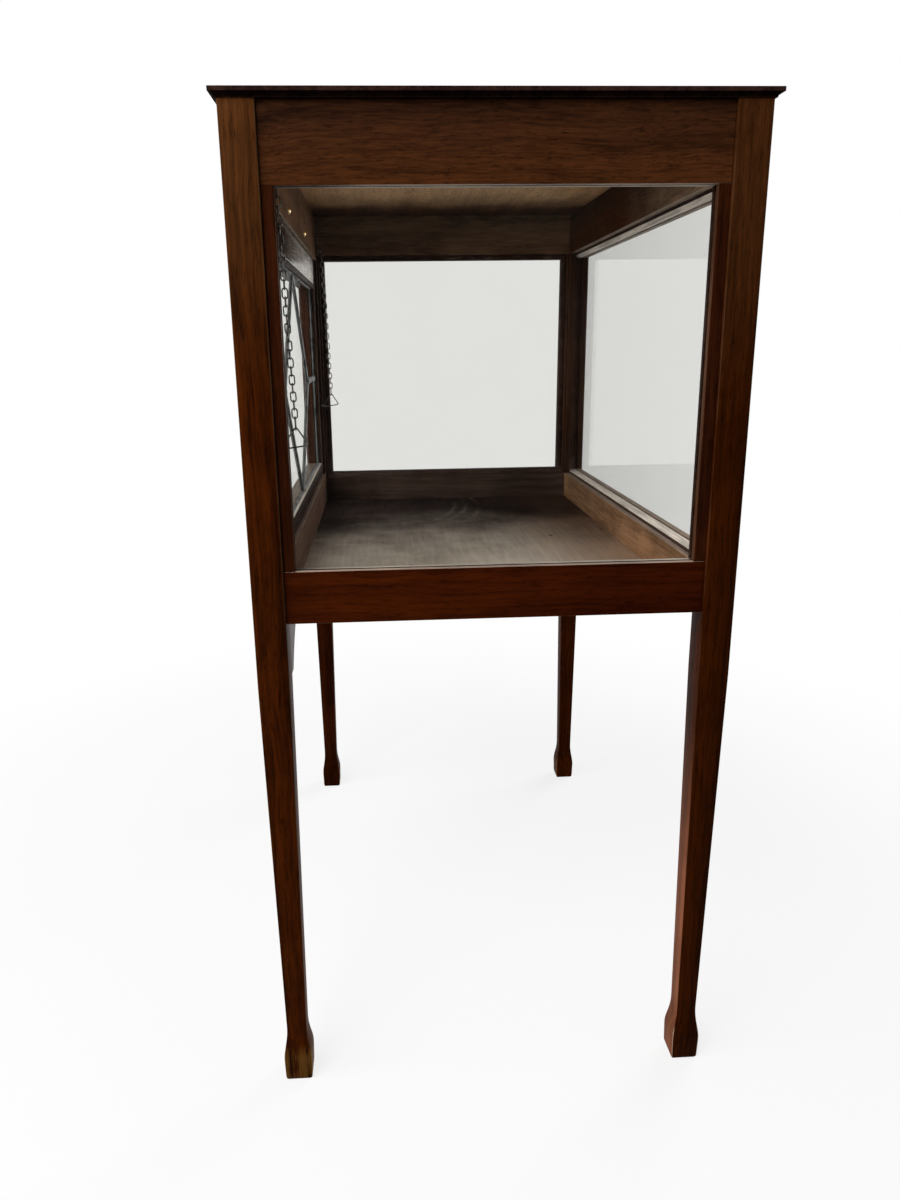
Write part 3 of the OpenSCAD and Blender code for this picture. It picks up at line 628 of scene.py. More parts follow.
# Beads: level faces near white away from the far end, a painted highlight.
BEAD_OAK = OakFinish(
    "bead_oak", "#1c100b", "#3d281d", worn_and_highlight="#6d5647", haze_veil=Veil("#5b4a42", 0.7, Grain.UPRIGHT, 0.66, 0.62),
    ledge=Veil("#f2e8dd", 0.95, Grain.LENGTH, -0.36, -0.30),
)
# Near beads: level faces paler towards the back side, a painted highlight.
NEAR_BEAD_OAK = replace(BEAD_OAK, name="near_bead_oak", ledge=Veil("#cdc2b6", 0.9, Grain.DEPTH, -0.24, -0.10))
# Flap frame: inner faces darkened, painted shade; its lowest level faces paler, painted light.
FLAP_OAK = OakFinish(
    "flap_oak", "#1c0a04", "#42200d", haze_veil=Veil("#211814", 0.8),
    ledge=Veil("#a3968a", 0.7, Grain.UPRIGHT, 0.74, 0.70),
)
# Flap beads: inner faces darkened, painted shade; lowest level faces near white, a painted highlight.
FLAP_BEAD_OAK = replace(
    BEAD_OAK, name="flap_bead_oak", haze_veil=Veil("#30261f", 0.7, Grain.UPRIGHT, 0.66, 0.62),
    ledge=Veil("#e2d8cd", 0.9, Grain.UPRIGHT, 0.74, 0.70),
)
# Glossier oak for the inside of the flap's top rail, with a near white veil towards the far end that is a
# painted reflection.
WAXED_PAINTED_SHEEN_OAK = replace(
    FLAP_OAK, name="waxed_painted_sheen_oak", haze_veil=Veil("#fbf4ee", 1.0, Grain.LENGTH, 0.20, -0.22), ior=1.45, roughness=0.14
)
FLAP_STILE_OAK = replace(FLAP_OAK, name="flap_stile_oak", haze_veil=Veil("#5d4c43", 0.1))
CLEAR_GLASS = GlassFinish("clear_glass", "#f7f7f6", 0.003, 0.02)
LEADED_GLASS = GlassFinish("leaded_glass", "#f5f5f3", 0.01, 0.05, grazing=0.12)
LEAD = MetalFinish("lead", "#4d4f50", "#343637", 0.7, 0.5, 60.0)
BRASS = MetalFinish("brass", "#ab8849", "#7d602f", 1.0, 0.32, 90.0, (0.35, 0.85))
RUBBED_BRASS = MetalFinish("rubbed_brass", "#e6cd9a", "#b58f52", 1.0, 0.22, 140.0)
DARK_STEEL = MetalFinish("dark_steel", "#6b6864", "#3b3733", 0.9, 0.38, 220.0)


class GeometryTree:
    """A geometry node tree with named inputs, run once on a start mesh to give a plain mesh."""

    SOCKETS = {float: "NodeSocketFloat", int: "NodeSocketInt", Vector: "NodeSocketVector"}

    def __init__(self, name: str, sizes: dict[str, float | int | Vector]) -> None:
        """Make the tree with one input for each size and one for the finish.

        Args:
            name: The tree's name.
            sizes: The inputs' names and values.
        """
        self.sizes = sizes
        self.tree = bpy.data.node_groups.new(name, "GeometryNodeTree")
        self.graph = Graph(self.tree)
        self.identifiers: dict[str, str] = {}
        face = self.tree.interface
        face.new_socket("Geometry", in_out="INPUT", socket_type="NodeSocketGeometry")
        face.new_socket("Geometry", in_out="OUTPUT", socket_type="NodeSocketGeometry")
        for label, size in sizes.items():
            socket = face.new_socket(label, in_out="INPUT", socket_type=self.SOCKETS[type(size)])
            self.identifiers[label] = socket.identifier
        finish = face.new_socket("Finish", in_out="INPUT", socket_type="NodeSocketMaterial")
        self.identifiers["Finish"] = finish.identifier
        self.inputs = self.graph.node("NodeGroupInput")

    def given(self, label: str) -> Value:
        """Return the tree's input of that name."""
        return Value(self.graph, self.inputs.outputs[label])

    def close(self, shape: Value) -> None:
        """End the tree: realize the instances and set the finish.

        Args:
            shape: The geometry that the tree has made.
        """
        real = self.graph.value("GeometryNodeRealizeInstances", None, {0: shape})
        sockets = {"Geometry": real, "Material": self.given("Finish")}
        dressed = self.graph.value("GeometryNodeSetMaterial", None, sockets)
        self.graph.node("NodeGroupOutput", None, {0: dressed})

    def run(self, name: str, start: bpy.types.Mesh, finish: bpy.types.Material) -> bpy.types.Object:
        """Evaluate the tree and keep its result as a plain mesh object.

        Args:
            name: The new piece's name.
            start: The mesh that the tree starts from.
            finish: The material of the result.

        Returns:
            The piece, linked to the scene.
        """
        source = bpy.data.objects.new(f"{name}_start", start)
        bpy.context.scene.collection.objects.link(source)
        modifier = source.modifiers.new(self.tree.name, "NODES")
        modifier.node_group = self.tree
        for label, size in self.sizes.items():
            modifier[self.identifiers[label]] = size
        modifier[self.identifiers["Finish"]] = finish
        evaluated = source.evaluated_get(bpy.context.evaluated_depsgraph_get())
        mesh = bpy.data.meshes.new_from_object(evaluated)
        bpy.data.objects.remove(source)
        mesh.name = name
        return link_piece(name, mesh)


def link_piece(name: str, mesh: bpy.types.Mesh) -> bpy.types.Object:
    """Put a mesh into the scene as an object at the origin.

    Args:
        name: The object's name.
        mesh: Its mesh.

    Returns:
        The object.
    """
    piece = bpy.data.objects.new(name, mesh)
    bpy.context.scene.collection.objects.link(piece)
    return piece


def points_mesh(name: str, points: Iterable[Sequence[float]]) -> bpy.types.Mesh:
    """Make a mesh of loose points.

    Args:
        name: The mesh's name.
        points: The places, in metres.

    Returns:
        The mesh.
    """
    mesh = bpy.data.meshes.new(name)
    mesh.from_pydata([tuple(p) for p in points], [], [])
    return mesh


def merged(node: str) -> bmesh.types.BMesh:
    """Copy a CAD node's mesh, whose triangles lie loose, and merge its points.

    Args:
        node: The node's name.

    Returns:
        The copy, which the caller frees.
    """
    work = bmesh.new()
    work.from_mesh(frame["nodes"][node].data)
    bmesh.ops.remove_doubles(work, verts=work.verts, dist=MERGE)
    return work


def settle(piece: bpy.types.Object, slot: str, *nodes: str) -> bpy.types.Object:
    """Let a new piece stand for CAD nodes: it rides on their body and hides them.

    Args:
        piece: The new piece.
        slot: The record's material slot; not used.
        nodes: The nodes that it stands for, all of one body.

    Returns:
        The piece.
    """
    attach(piece, frame["nodes"][nodes[0]]["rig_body"])
    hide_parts(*nodes)
    LOG.info("%s stands for %s, %d faces", piece.name, ", ".join(nodes), len(piece.data.polygons))
    return piece


def dress_node(node: str, material: bpy.types.Material) -> None:
    """Give a CAD node that keeps its own mesh a finish.

    Args:
        node: The node's name.
        material: Its finish.
    """
    piece = frame["nodes"][node]
    if not piece.material_slots:
        piece.data.materials.append(material)
    for slot in piece.material_slots:
        slot.material = material
    LOG.info("%s keeps its mesh, dressed in %s", node, material.name)


def crisp(mesh: bpy.types.Mesh, angle: float = 20.0) -> None:
    """Shade a mesh smooth, with a hard edge wherever its faces turn by more than an angle in degrees."""
    mesh.shade_smooth()
    mesh.set_sharp_from_angle(angle=math.radians(angle))


def mark_faces(mesh: bpy.types.Mesh, lowest: float | None = None) -> None:
    """Store which faces look inward and which lie level, for the dust and painted light put there.

    Args:
        mesh: The piece's mesh.
        lowest: The level that the marks start from, if not the floor of the case.
    """
    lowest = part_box("floor_board")[0].z if lowest is None else lowest
    inner = mesh.attributes.new("indoors", "FLOAT", "FACE")
    ledge = mesh.attributes.new("ledge", "FLOAT", "FACE")
    for face in mesh.polygons:
        across = face.normal.x * math.copysign(1.0, face.center.x)
        through = face.normal.y * math.copysign(1.0, face.center.y)
        above = face.center.z > lowest
        inner.data[face.index].value = float(above and min(across, through) < -INWARD)
        ledge.data[face.index].value = float(above and abs(face.normal.z) > LEVEL)


@dataclass
class PhotoCamera:
    """The camera at the photograph's place, solved from the case's corners."""

    place: tuple[float, float, float] = (1.26666, -0.11204, 0.84249)
    yaw: float = 0.0528
    pitch: float = 0.2750
    roll: float = -0.0137
    focal_pixels: float = 892.9
    middle_pixel: tuple[float, float] = (433.25, 597.89)
    image_width: int = 900
    image_height: int = 1200
    sensor: float = 36.0
    nearest: float = 20 * MM

    def build(self) -> None:
        """Make the camera and set it as the scene's."""
        flat = math.cos(self.pitch)
        forward = Vector((-math.cos(self.yaw) * flat, math.sin(self.yaw) * flat, -math.sin(self.pitch)))
        level = forward.cross(Vector((0, 0, 1))).normalized()
        above = level.cross(forward)
        right = math.cos(self.roll) * level + math.sin(self.roll) * above
        up = math.cos(self.roll) * above - math.sin(self.roll) * level
        data = bpy.data.cameras.new("photo_camera")
        data.sensor_width = self.sensor
        data.lens = self.focal_pixels / self.image_height * self.sensor
        data.shift_x = (self.image_width / 2 - self.middle_pixel[0]) / self.image_height
        data.shift_y = (self.middle_pixel[1] - self.image_height / 2) / self.image_height
        data.clip_start = self.nearest
        camera = bpy.data.objects.new("photo_camera", data)
        turn = Matrix((right, up, -forward)).transposed().to_4x4()
        camera.matrix_world = Matrix.Translation(self.place) @ turn
        bpy.context.scene.collection.objects.link(camera)
        bpy.context.scene.camera = camera


@dataclass
class Lamp:
    """One soft square lamp."""

    name: str
    place: tuple[float, float, float]
    target: tuple[float, float, float]
    side: float
    watts: float

    def build(self) -> None:
        """Make the lamp and turn it to its target."""
        data = bpy.data.lights.new(self.name, "AREA")
        data.shape = "SQUARE"
        data.size = self.side
        data.energy = self.watts
        lamp = bpy.data.objects.new(self.name, data)
        aim = Vector(self.target) - Vector(self.place)
        lamp.matrix_world = Matrix.Translation(self.place) @ aim.to_track_quat("-Z", "Y").to_matrix().to_4x4()
        bpy.context.scene.collection.objects.link(lamp)


@dataclass
class Studio:
    """A pale floor that fades into a white surround, dim even light and soft lamps."""

    floor_side: float = 40.0
    floor_drop: float = 0.3 * MM
    ambient: float = 0.16
    floor_shown: float = 0.88
    floor_bounce: float = 0.4
    glow: float = 0.8
    fade_from: float = 0.45
    fade_to: float = 1.5
    lamps: tuple[Lamp, ...] = (
        Lamp("key_lamp", (1.75, -1.1, 2.2), (0.1, 0.0, 0.6), 1.3, 44.0),
        Lamp("side_lamp", (1.0, -2.6, 0.8), (0.1, 0.0, 0.5), 1.6, 60.0),
        Lamp("rear_lamp", (-2.0, 2.2, 1.0), (0.0, 0.0, 0.6), 1.8, 75.0),
    )

    def seen(self, graph: Graph) -> Value:
        """Return 1 for rays that show the surround itself, and 0 for those that only carry light."""
        path = graph.node("ShaderNodeLightPath")
        rays = [Value(graph, path.outputs[f"Is {kind} Ray"]) for kind in ("Camera", "Glossy", "Transmission")]
        return graph.most(graph.most(rays[0], rays[1]), rays[2])

    def build(self) -> None:
        """Make the world, the floor and the lamps."""
        scene = bpy.context.scene
        scene.view_settings.view_transform = "Standard"
        world = bpy.data.worlds.new("white_surround")
        world.use_nodes = True
        world.node_tree.nodes.clear()
        graph = Graph(world.node_tree)
        dim = graph.value("ShaderNodeBackground", None, {"Color": (1, 1, 1), "Strength": self.ambient})
        white = graph.value("ShaderNodeBackground", None, {"Color": (1, 1, 1), "Strength": 1.0})
        graph.node("ShaderNodeOutputWorld", None, {"Surface": graph.blend(self.seen(graph), dim, white)})
        scene.world = world
        for lamp in self.lamps:
            lamp.build()
        self.floor()

    def floor(self) -> bpy.types.Object:
        """Make the pale floor, lit near the case and plain white further out.

        Returns:
            The floor object.
        """
        half = self.floor_side / 2
        corners = [(x * half, y * half, -self.floor_drop) for x, y in ((-1, -1), (1, -1), (1, 1), (-1, 1))]
        mesh = bpy.data.meshes.new("studio_floor")
        mesh.from_pydata(corners, [], [(0, 1, 2, 3)])
        material, graph = new_material("studio_floor")
        away = graph.vector("LENGTH", graph.position(), output="Value")
        far = self.glow + (1.0 - self.glow) * graph.ease(away, self.fade_from, self.fade_to)
        seen = self.seen(graph)
        shown = graph.value("ShaderNodeBsdfDiffuse", None, {"Color": (self.floor_shown,) * 3})
        bounce = graph.value("ShaderNodeBsdfDiffuse", None, {"Color": (self.floor_bounce,) * 3})
        white = graph.value("ShaderNodeEmission", None, {"Color": (1, 1, 1), "Strength": 1.0})
        graph.surface(graph.blend(far * seen, graph.blend(seen, bounce, shown), white))
        mesh.materials.append(material)
        return link_piece("studio_floor", mesh)


@dataclass
class Legs:
    """The four square legs: straight above, tapered below, with a hollow flare and a spade foot."""

    side: float = 33 * MM
    ankle_side: float = 23 * MM
    base_side: float = 31 * MM
    block_height: float = 37 * MM
    ankle_height: float = 71 * MM
    taper_height: float = 500 * MM
    arris: float = 1.1 * MM
    arris_points: int = 3
    step: float = 2 * MM
    softness: float = 5 * MM
    tuck_height: float = 4 * MM
    tuck: float = 1.5 * MM

    def tree(self, height: float) -> GeometryTree:
        """Build the node tree that sweeps a rounded square up a leg whose width follows its height.

        Args:
            height: The leg's height.

        Returns:
            The tree.
        """
        leg = GeometryTree("tapered_leg", {
            "Height": height, "Half Side": self.side / 2, "Half Ankle": self.ankle_side / 2,
            "Half Base": self.base_side / 2, "Block Height": self.block_height,
            "Ankle Height": self.ankle_height, "Taper Height": self.taper_height,
            "Arris": self.arris, "Step": self.step, "Softness": self.softness,
            "Tuck Height": self.tuck_height, "Tuck": self.tuck,
        })
        graph = leg.graph
        half, ankle, base = leg.given("Half Side"), leg.given("Half Ankle"), leg.given("Half Base")
        block, knee, taper = leg.given("Block Height"), leg.given("Ankle Height"), leg.given("Taper Height")
        sockets = {"Start": (0, 0, 0), "End": graph.xyz(Z=leg.given("Height"))}
        line = graph.value("GeometryNodeCurvePrimitiveLine", None, sockets)
        sockets = {"Curve": line, "Length": leg.given("Step")}
        line = graph.value("GeometryNodeResampleCurve", {"mode": "LENGTH"}, sockets)
        place = graph.value("GeometryNodeInputPosition")
        z = graph.axis(place, "Z")

        rise = knee - block
        flare = (rise * rise + (half - ankle) * (half - ankle)) / (2 * (half - ankle))
        drop = knee - z
        hollow = ankle + flare - graph.math("SQRT", flare * flare - drop * drop)
        foot = base + (half - base) * z / block
        shank = graph.least(half, ankle + (half - ankle) * (z - knee) / (taper - knee))
        spade = graph.math("SMOOTH_MIN", foot, hollow, leg.given("Softness"))
        under = graph.most(1 - z / leg.given("Tuck Height"), 0.0)
        in_ankle = z < knee
        width = in_ankle * (spade - under * under * leg.given("Tuck")) + (1 - in_ankle) * shank

        # The section is a square of half side 1, whose corners are 1 + 1 from the middle along both axes
        bend = leg.given("Arris") / half
        square = graph.value("GeometryNodeCurvePrimitiveQuadrilateral", None, {"Width": 2.0, "Height": 2.0})
        sockets = {"Curve": square, "Count": self.arris_points, "Radius": bend}
        section = graph.value("GeometryNodeFilletCurve", {"mode": "POLY"}, sockets)
        corner = graph.vector("ABSOLUTE", place)
        rounded = graph.axis(corner, "X") + graph.axis(corner, "Y") > 2 - 0.8 * bend
        section = graph.value(
            "GeometryNodeStoreNamedAttribute",
            {"data_type": "FLOAT", "domain": "POINT"},
            {"Geometry": section, "Name": "arris", "Value": rounded},
        )
        sockets = {"Curve": line, "Profile Curve": section, "Scale": width, "Fill Caps": True}
        leg.close(graph.value("GeometryNodeCurveToMesh", None, sockets))
        return leg

    def build(self) -> None:
        """Sweep each leg and set it in its corner."""
        for corner, oak in (
            ("front_right", SCUFFED_POST_OAK), ("front_left", SHADED_POST_OAK),
            ("back_right", BACK_POST_OAK), ("back_left", POST_OAK),
        ):
            node = f"leg_{corner}"
            low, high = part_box(node)
            tree = self.tree(high.z - low.z)
            piece = tree.run(f"{node}_shaft", points_mesh(node, [(0, 0, 0)]), oak.material(Grain.UPRIGHT))
            middle = (low + high) / 2
            piece.data.transform(Matrix.Translation((middle.x, middle.y, low.z)))
            crisp(piece.data)
            mark_faces(piece.data, low.z)
            settle(piece, "oak", node)


@dataclass
class Timber:
    """Boards cut as the CAD nodes are, with their arrises eased by hand plane and wear."""

    ease: float = 0.8 * MM
    shortest: float = 8 * MM
    top_ease: float = 0.5 * MM
    fold: float = 30.0
    flat: float = 0.5
    steps: int = 2
    underside: float = 0.1

    def eased(self, node: str, ease: float | None = None, shortest: float | None = None) -> bpy.types.Object:
        """Copy a node's mesh, merge it and round over its long arrises.

        Args:
            node: The CAD node.
            ease: Width of the rounding, if not the usual one.
            shortest: Shortest edge that is rounded, if not the usual one.

        Returns:
            The new piece, not yet dressed.
        """
        ease = self.ease if ease is None else ease
        shortest = self.shortest if shortest is None else shortest
        work = merged(node)
        bmesh.ops.dissolve_limit(
            work, angle_limit=math.radians(self.flat), verts=list(work.verts), edges=list(work.edges)
        )
        fold = math.radians(self.fold)
        arrises = [
            edge for edge in work.edges
            if edge.is_manifold and edge.is_convex
            and edge.calc_face_angle() > fold and edge.calc_length() > shortest
        ]
        cut = bmesh.ops.bevel(
            work, geom=arrises, offset=ease, offset_type="OFFSET", segments=self.steps, profile=0.5,
            affect="EDGES", clamp_overlap=True,
        )
        rounded = set(cut["faces"])
        layer = work.verts.layers.float.new("arris")
        for vert in cut["verts"]:
            if vert.is_valid and all(face in rounded for face in vert.link_faces):
                vert[layer] = 1.0
        bmesh.ops.triangulate(work, faces=[f for f in work.faces if len(f.verts) > 4])
        mesh = bpy.data.meshes.new(f"{node}_eased")
        work.to_mesh(mesh)
        work.free()
        crisp(mesh)
        mark_faces(mesh)
        return link_piece(f"{node}_eased", mesh)

    def board(
        self, node: str, finish: OakFinish, grain: Grain, slot: str = "oak", **cut: float
    ) -> bpy.types.Object:
        """Build an eased copy of a node and let it stand for the node.

        Args:
            node: The CAD node.
            finish: Its oak.
            grain: The axis of its fibres.
            slot: The record's material slot.
            cut: The width of the easing and the shortest edge, if not the usual ones.

        Returns:
            The new piece.
        """
        piece = self.eased(node, **cut)
        piece.data.materials.append(finish.material(grain))
        return settle(piece, slot, node)

    def top(self) -> None:
        """Build the top board: stained above, with painted shade in its cove and painted light on its
        underside over the inside of the case.
        """
        piece = self.eased("top_board", self.top_ease)
        low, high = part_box("floor_board")
        work = bmesh.new()
        work.from_mesh(piece.data)
        for corner in (low, high):
            for across in (Vector((1, 0, 0)), Vector((0, 1, 0))):
                whole = [*work.verts, *work.edges, *work.faces]
                bmesh.ops.bisect_plane(work, geom=whole, plane_co=corner, plane_no=across)
        work.to_mesh(piece.data)
        work.free()
        for finish in (TOP_OAK, COVE_OAK, CEILING_OAK):
            piece.data.materials.append(finish.material(Grain.LENGTH))
        for face in piece.data.polygons:
            middle, down = face.center, -face.normal.z
            inside = low.x < middle.x < high.x and low.y < middle.y < high.y
            face.material_index = 0 if down < self.underside else 2 if inside else 1
        settle(piece, "oak", "top_board")

    def build(self) -> None:
        """Build the boards of the case, side by side."""
        for side, grain, upper, lower in (
            ("right", Grain.DEPTH, NEAR_UPPER_OAK, LOWER_RAIL_OAK),
            ("left", Grain.DEPTH, UPPER_RAIL_OAK, FAR_LOWER_OAK),
            ("back", Grain.LENGTH, BACK_UPPER_OAK, BACK_LOWER_OAK),
            ("front", Grain.LENGTH, UPPER_RAIL_OAK, FRONT_LOWER_OAK),
        ):
            self.board(f"upper_rail_{side}", upper, grain)
            self.board(f"lower_rail_{side}", lower, grain)
        for side in (*SIDES, "back"):
            self.board(f"stiles_{side}", STILE_OAK, Grain.UPRIGHT)
        for side in SIDES:
            self.board(f"bracket_{side}", BRACKET_OAK, Grain.LENGTH)
        self.board("flap_stops", STILE_OAK, Grain.UPRIGHT)
        self.top()
        dress_node("top_dowels", BEAD_OAK.material(Grain.UPRIGHT))
        dress_node("floor_board", FloorFinish().material())


@dataclass
class Glazing:
    """The three plain panes and the beads that hold them from inside."""

    bead_ease: float = 0.5 * MM

    def build(self, timber: Timber) -> None:
        """Dress the panes and build their beads.

        Args:
            timber: The maker of eased boards.
        """
        for side, oak, grain in (
            ("right", NEAR_BEAD_OAK, Grain.DEPTH),
            ("left", BEAD_OAK, Grain.DEPTH),
            ("back", BEAD_OAK, Grain.LENGTH),
        ):
            dress_node(f"glass_{side}", CLEAR_GLASS.material())
            timber.board(f"beads_{side}", oak, grain, "oak_inside", ease=self.bead_ease)


@dataclass
class LeadedFlap:
    """The drop flap: an oak frame round a leaded light with one large lozenge."""

    came_width: float = 10 * MM
    lozenge_half: float = 170 * MM
    solder_side: float = 15 * MM
    solder_rise: float = 0.9 * MM
    came_sides: int = 16
    came_fold: float = 40.0
    solder_sides: int = 14
    solder_rings: int = 8
    bead_ease: float = 0.4 * MM

    def lines(self) -> tuple[list[Vector], list[tuple[int, int]]]:
        """Lay out the middle lines of the cames.

        Returns:
            The points where cames meet, and the pairs of points that a came joins.
        """
        low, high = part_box("lead_cames")
        middle = (low + high) / 2
        half = self.came_width / 2
        right, left = high.x - half, low.x + half
        top, foot = high.z - half, low.z + half
        y = middle.y
        # Points 0 to 7 run round the border from its lower left corner, and 8 and 9 end the lozenge's sides
        points = [
            Vector((left, y, foot)), Vector((middle.x, y, foot)), Vector((right, y, foot)),
            Vector((right, y, middle.z)), Vector((right, y, top)), Vector((middle.x, y, top)),
            Vector((left, y, top)), Vector((left, y, middle.z)),
            Vector((middle.x + self.lozenge_half, y, middle.z)),
            Vector((middle.x - self.lozenge_half, y, middle.z)),
        ]
        border = [(i, (i + 1) % 8) for i in range(8)]
        inner = [(1, 8), (8, 5), (5, 9), (9, 1), (8, 3), (9, 7)]
        return points, border + inner

    def came_tree(self, thickness: float) -> GeometryTree:
        """Build the node tree that runs a rounded came along each line and solders the joints.

        Args:
            thickness: The came's thickness.

        Returns:
            The tree.
        """
        light = GeometryTree("lead_came", {
            "Width": self.came_width, "Thickness": thickness,
            "Solder Side": self.solder_side, "Solder Rise": self.solder_rise,
        })
        graph = light.graph
        start, thick = light.given("Geometry"), light.given("Thickness")
        edges = graph.value("GeometryNodeSplitEdges", None, {"Mesh": start})
        runs = graph.value("GeometryNodeMeshToCurve", None, {"Mesh": edges})
        sockets = {"Curve": runs, "Normal": (0.0, 1.0, 0.0)}
        runs = graph.value("GeometryNodeSetCurveNormal", {"mode": "FREE"}, sockets)
        sockets = {"Resolution": self.came_sides, "Radius": 0.5}
        oval = graph.value("GeometryNodeCurvePrimitiveCircle", None, sockets)
        sockets = {"Geometry": oval, "Scale": graph.xyz(X=thick, Y=light.given("Width"), Z=1.0)}
        section = graph.value("GeometryNodeTransform", None, sockets)
        sockets = {"Curve": runs, "Profile Curve": section, "Fill Caps": True}
        cames = graph.value("GeometryNodeCurveToMesh", None, sockets)

        sockets = {"Segments": self.solder_sides, "Rings": self.solder_rings, "Radius": 0.5}
        blob = graph.value("GeometryNodeMeshUVSphere", None, sockets)
        wide = light.given("Solder Side")
        swell = graph.xyz(X=wide, Y=thick + 2 * light.given("Solder Rise"), Z=wide)
        sockets = {"Points": start, "Instance": blob, "Scale": swell}
        joints = graph.value("GeometryNodeInstanceOnPoints", None, sockets)
        light.close(graph.value("GeometryNodeJoinGeometry", None, {0: [cames, joints]}))
        return light

    def build(self, timber: Timber) -> None:
        """Build the frame, the cames and the flap's beads, and dress the leaded panes.

        Args:
            timber: The maker of eased boards.
        """
        for side in SIDES:
            timber.board(f"flap_stile_{side}", FLAP_STILE_OAK, Grain.UPRIGHT)
        top = timber.board("flap_top_rail", FLAP_OAK, Grain.LENGTH)
        # The top rail's inner faces take the glossier oak with the painted reflection.
        top.data.materials.append(WAXED_PAINTED_SHEEN_OAK.material(Grain.LENGTH))
        for face, mark in zip(top.data.polygons, top.data.attributes["indoors"].data):
            face.material_index = int(mark.value)
        timber.board("flap_bottom_rail", FLAP_OAK, Grain.LENGTH)
        timber.board("flap_beads", FLAP_BEAD_OAK, Grain.LENGTH, ease=self.bead_ease)
        points, pairs = self.lines()
        start = bpy.data.meshes.new("came_lines")
        start.from_pydata(points, pairs, [])
        low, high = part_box("lead_cames")
        cames = self.came_tree(high.y - low.y).run("lead_came_lattice", start, LEAD.material())
        crisp(cames.data, self.came_fold)
        settle(cames, "lead", "lead_cames")
        dress_node("leaded_panes", LEADED_GLASS.material())


@dataclass
class ChainStay:
    """A chain of oval wire links from a rail eye to the triangle on the flap."""

    wire: float = 1.4 * MM
    bend: float = 2.65 * MM
    inner: float = 8.5 * MM
    end_inner: float = 12 * MM
    slack: float = 0.25 * MM
    eye_wire: float = 1.8 * MM
    links: int = 27
    tilt: float = math.radians(1.59)
    bend_points: int = 7
    wire_sides: int = 8
    fold: float = 60.0

    def link(self, tree: GeometryTree, inner: Value) -> Value:
        """Build one oval link in the XY plane, long along Y.

        Args:
            tree: The tree that it goes into.
            inner: The clear length inside it.

        Returns:
            The link's mesh.
        """
        graph = tree.graph
        sockets = {"Width": 2 * tree.given("Bend"), "Height": inner + tree.given("Wire")}
        oblong = graph.value("GeometryNodeCurvePrimitiveQuadrilateral", None, sockets)
        sockets = {
            "Curve": oblong, "Count": self.bend_points, "Radius": tree.given("Bend"), "Limit Radius": True,
        }
        oval = graph.value("GeometryNodeFilletCurve", {"mode": "POLY"}, sockets)
        sockets = {"Resolution": self.wire_sides, "Radius": tree.given("Wire") / 2}
        section = graph.value("GeometryNodeCurvePrimitiveCircle", None, sockets)
        return graph.value("GeometryNodeCurveToMesh", None, {"Curve": oval, "Profile Curve": section})

    def tree(self, hook: Vector) -> GeometryTree:
        """Build the node tree of one chain, with every second link turned.

        Args:
            hook: The place in the rail eye that the chain hangs from.

        Returns:
            The tree.
        """
        pitch = self.inner - self.slack
        first = self.inner / 2 - self.eye_wire / 2 - self.slack
        last = first + (self.links - 1) * pitch + (self.inner + self.end_inner) / 2 - self.slack
        chain = GeometryTree("stay_chain", {
            "Wire": self.wire, "Bend": self.bend, "Inner Length": self.inner, "End Length": self.end_inner,
            "First": first, "Pitch": pitch, "Last": last, "Links": self.links, "Tilt": self.tilt,
            "Hook": hook,
        })
        graph = chain.graph
        quarter = math.pi / 2
        row = graph.value("GeometryNodeMeshLine", None, {
            "Count": chain.given("Links"),
            "Start Location": graph.xyz(Z=-1.0 * chain.given("First")),
            "Offset": graph.xyz(Z=-1.0 * chain.given("Pitch")),
        })
        odd = graph.math("MODULO", graph.value("GeometryNodeInputIndex"), 2.0)
        links = graph.value("GeometryNodeInstanceOnPoints", None, {
            "Points": row,
            "Instance": self.link(chain, chain.given("Inner Length")),
            "Rotation": graph.xyz(X=quarter, Z=(1 - odd) * quarter),
        })
        end = graph.value("GeometryNodeTransform", None, {
            "Geometry": self.link(chain, chain.given("End Length")),
            "Translation": graph.xyz(Z=-1.0 * chain.given("Last")),
            "Rotation": (quarter, 0.0, 0.0),
        })
        chain.close(graph.value("GeometryNodeTransform", None, {
            "Geometry": graph.value("GeometryNodeJoinGeometry", None, {0: [links, end]}),
            "Translation": chain.given("Hook"),
            "Rotation": graph.xyz(X=chain.given("Tilt")),
        }))
        return chain

    def build(self) -> None:
        """Hang both chains and dress the eyes and triangles."""
        hooks = {joint["name"]: Vector(joint["pos_m"]) for joint in frame["joints"]}
        for side in SIDES:
            node = f"stay_chain_{side}"
            tree = self.tree(hooks[f"chain_swing_{side}"])
            chain = tree.run(f"{node}_links", points_mesh(node, [(0, 0, 0)]), DARK_STEEL.material())
            crisp(chain.data, self.fold)
            settle(chain, "dark_steel", node)
            dress_node(f"stay_triangle_{side}", DARK_STEEL.material())
        for node in ("rail_eyes", "flap_eyes"):
            dress_node(node, DARK_STEEL.material())


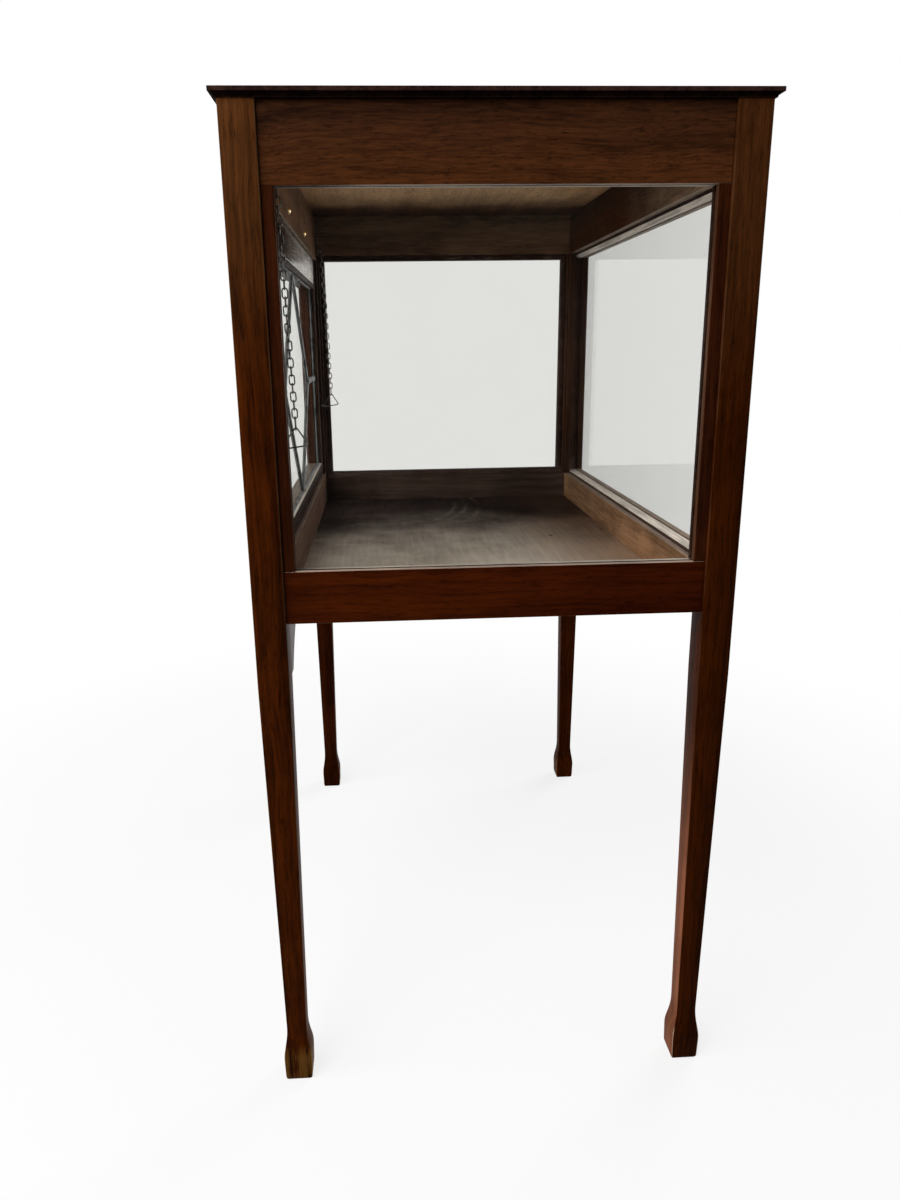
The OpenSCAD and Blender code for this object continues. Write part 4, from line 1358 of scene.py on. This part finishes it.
@dataclass
class Screws:
    """Countersunk slotted screws, placed where the CAD solids of a node lie."""

    head_radius: float = 3 * MM
    shank_radius: float = 1.4 * MM
    length: float = 12 * MM
    slot_width: float = 0.7 * MM
    slot_depth: float = 0.55 * MM
    head_sides: int = 24
    shank_sides: int = 16
    seed: int = 7

    def places(self, node: str, points_up: bool) -> list[Vector]:
        """Find the middle of each screw's head.

        Args:
            node: The CAD node that holds the screws.
            points_up: True if the screws point up, so that their heads are below.

        Returns:
            One point for each screw.
        """
        work = merged(node)
        left = set(work.verts)
        heads = []
        while left:
            island = [left.pop()]
            for vert in island:
                near = {edge.other_vert(vert) for edge in vert.link_edges} & left
                left -= near
                island.extend(near)
            xs, ys, zs = ([vert.co[i] for vert in island] for i in range(3))
            level = min(zs) if points_up else max(zs)
            heads.append(Vector(((min(xs) + max(xs)) / 2, (min(ys) + max(ys)) / 2, level)))
        work.free()
        return sorted(heads, key=lambda head: (round(head.x, 4), round(head.y, 4)))

    def tree(self, points_up: bool) -> GeometryTree:
        """Build the node tree that sets a slotted screw on every point, its slot turned at random.

        Args:
            points_up: True if the screws point up.

        Returns:
            The tree.
        """
        screw = GeometryTree("slotted_screw", {
            "Head Radius": self.head_radius, "Shank Radius": self.shank_radius, "Length": self.length,
            "Slot Width": self.slot_width, "Slot Depth": self.slot_depth, "Seed": self.seed,
        })
        graph = screw.graph
        head, shank, length = (screw.given(label) for label in ("Head Radius", "Shank Radius", "Length"))
        taper = head - shank
        cone = graph.value("GeometryNodeMeshCone", None, {
            "Vertices": self.head_sides, "Radius Bottom": head, "Radius Top": shank, "Depth": taper,
        })
        sockets = {"Vertices": self.shank_sides, "Radius": shank, "Depth": length - 0.5 * taper}
        rod = graph.value("GeometryNodeMeshCylinder", None, sockets)
        sockets = {"Geometry": rod, "Translation": graph.xyz(Z=0.5 * length + 0.25 * taper)}
        rod = graph.value("GeometryNodeTransform", None, sockets)
        whole = graph.value("GeometryNodeMeshBoolean", {"operation": "UNION"}, {"Mesh 2": [cone, rod]})
        size = graph.xyz(X=3 * head, Y=screw.given("Slot Width"), Z=2 * screw.given("Slot Depth"))
        sockets = {"Mesh 1": whole, "Mesh 2": graph.value("GeometryNodeMeshCube", None, {"Size": size})}
        body = graph.value("GeometryNodeMeshBoolean", {"operation": "DIFFERENCE"}, sockets)
        sockets = {2: 0.0, 3: math.pi, "Seed": screw.given("Seed")}
        spin = graph.value("FunctionNodeRandomValue", {"data_type": "FLOAT"}, sockets, 1)
        screw.close(graph.value("GeometryNodeInstanceOnPoints", None, {
            "Points": screw.given("Geometry"),
            "Instance": body,
            "Rotation": graph.xyz(X=0.0 if points_up else math.pi, Z=spin),
        }))
        return screw

    def build(self) -> None:
        """Build the floor's steel screws and the hinges' brass ones."""
        for node, points_up, slot, finish in (
            ("floor_screws", True, "dark_steel", DARK_STEEL),
            ("hinge_case_screws", False, "brass", BRASS),
            ("hinge_flap_screws", True, "brass", BRASS),
        ):
            start = points_mesh(node, self.places(node, points_up))
            piece = self.tree(points_up).run(f"{node}_slotted", start, finish.material())
            crisp(piece.data)
            settle(piece, slot, node)


@dataclass
class Fittings:
    """The brass hinges and turn buttons."""

    button_ease: float = 0.6 * MM

    def build(self, timber: Timber) -> None:
        """Dress the hinges, bolts and nuts, and round the turn buttons.

        Args:
            timber: The maker of eased copies.
        """
        for side in SIDES:
            dress_node(f"hinge_case_leaf_{side}", BRASS.material())
            dress_node(f"hinge_flap_leaf_{side}", BRASS.material())
            node = f"turn_button_{side}"
            button = timber.eased(node, self.button_ease, 0.0)
            button.data.materials.append(BRASS.material())
            settle(button, "brass", node)
        for node in ("hinge_pins", "button_bolts"):
            dress_node(node, BRASS.material())
        dress_node("button_nuts", RUBBED_BRASS.material())


def main() -> None:
    """Build the scene in order: camera, studio, timber, glass, flap, stays and fittings."""
    logging.basicConfig(level=logging.INFO, format="%(message)s")
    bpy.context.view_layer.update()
    PhotoCamera().build()
    Studio().build()
    timber = Timber()
    Legs().build()
    timber.build()
    Glazing().build(timber)
    LeadedFlap().build(timber)
    ChainStay().build()
    Screws().build()
    Fittings().build(timber)


if __name__ == "__main__":
    main()
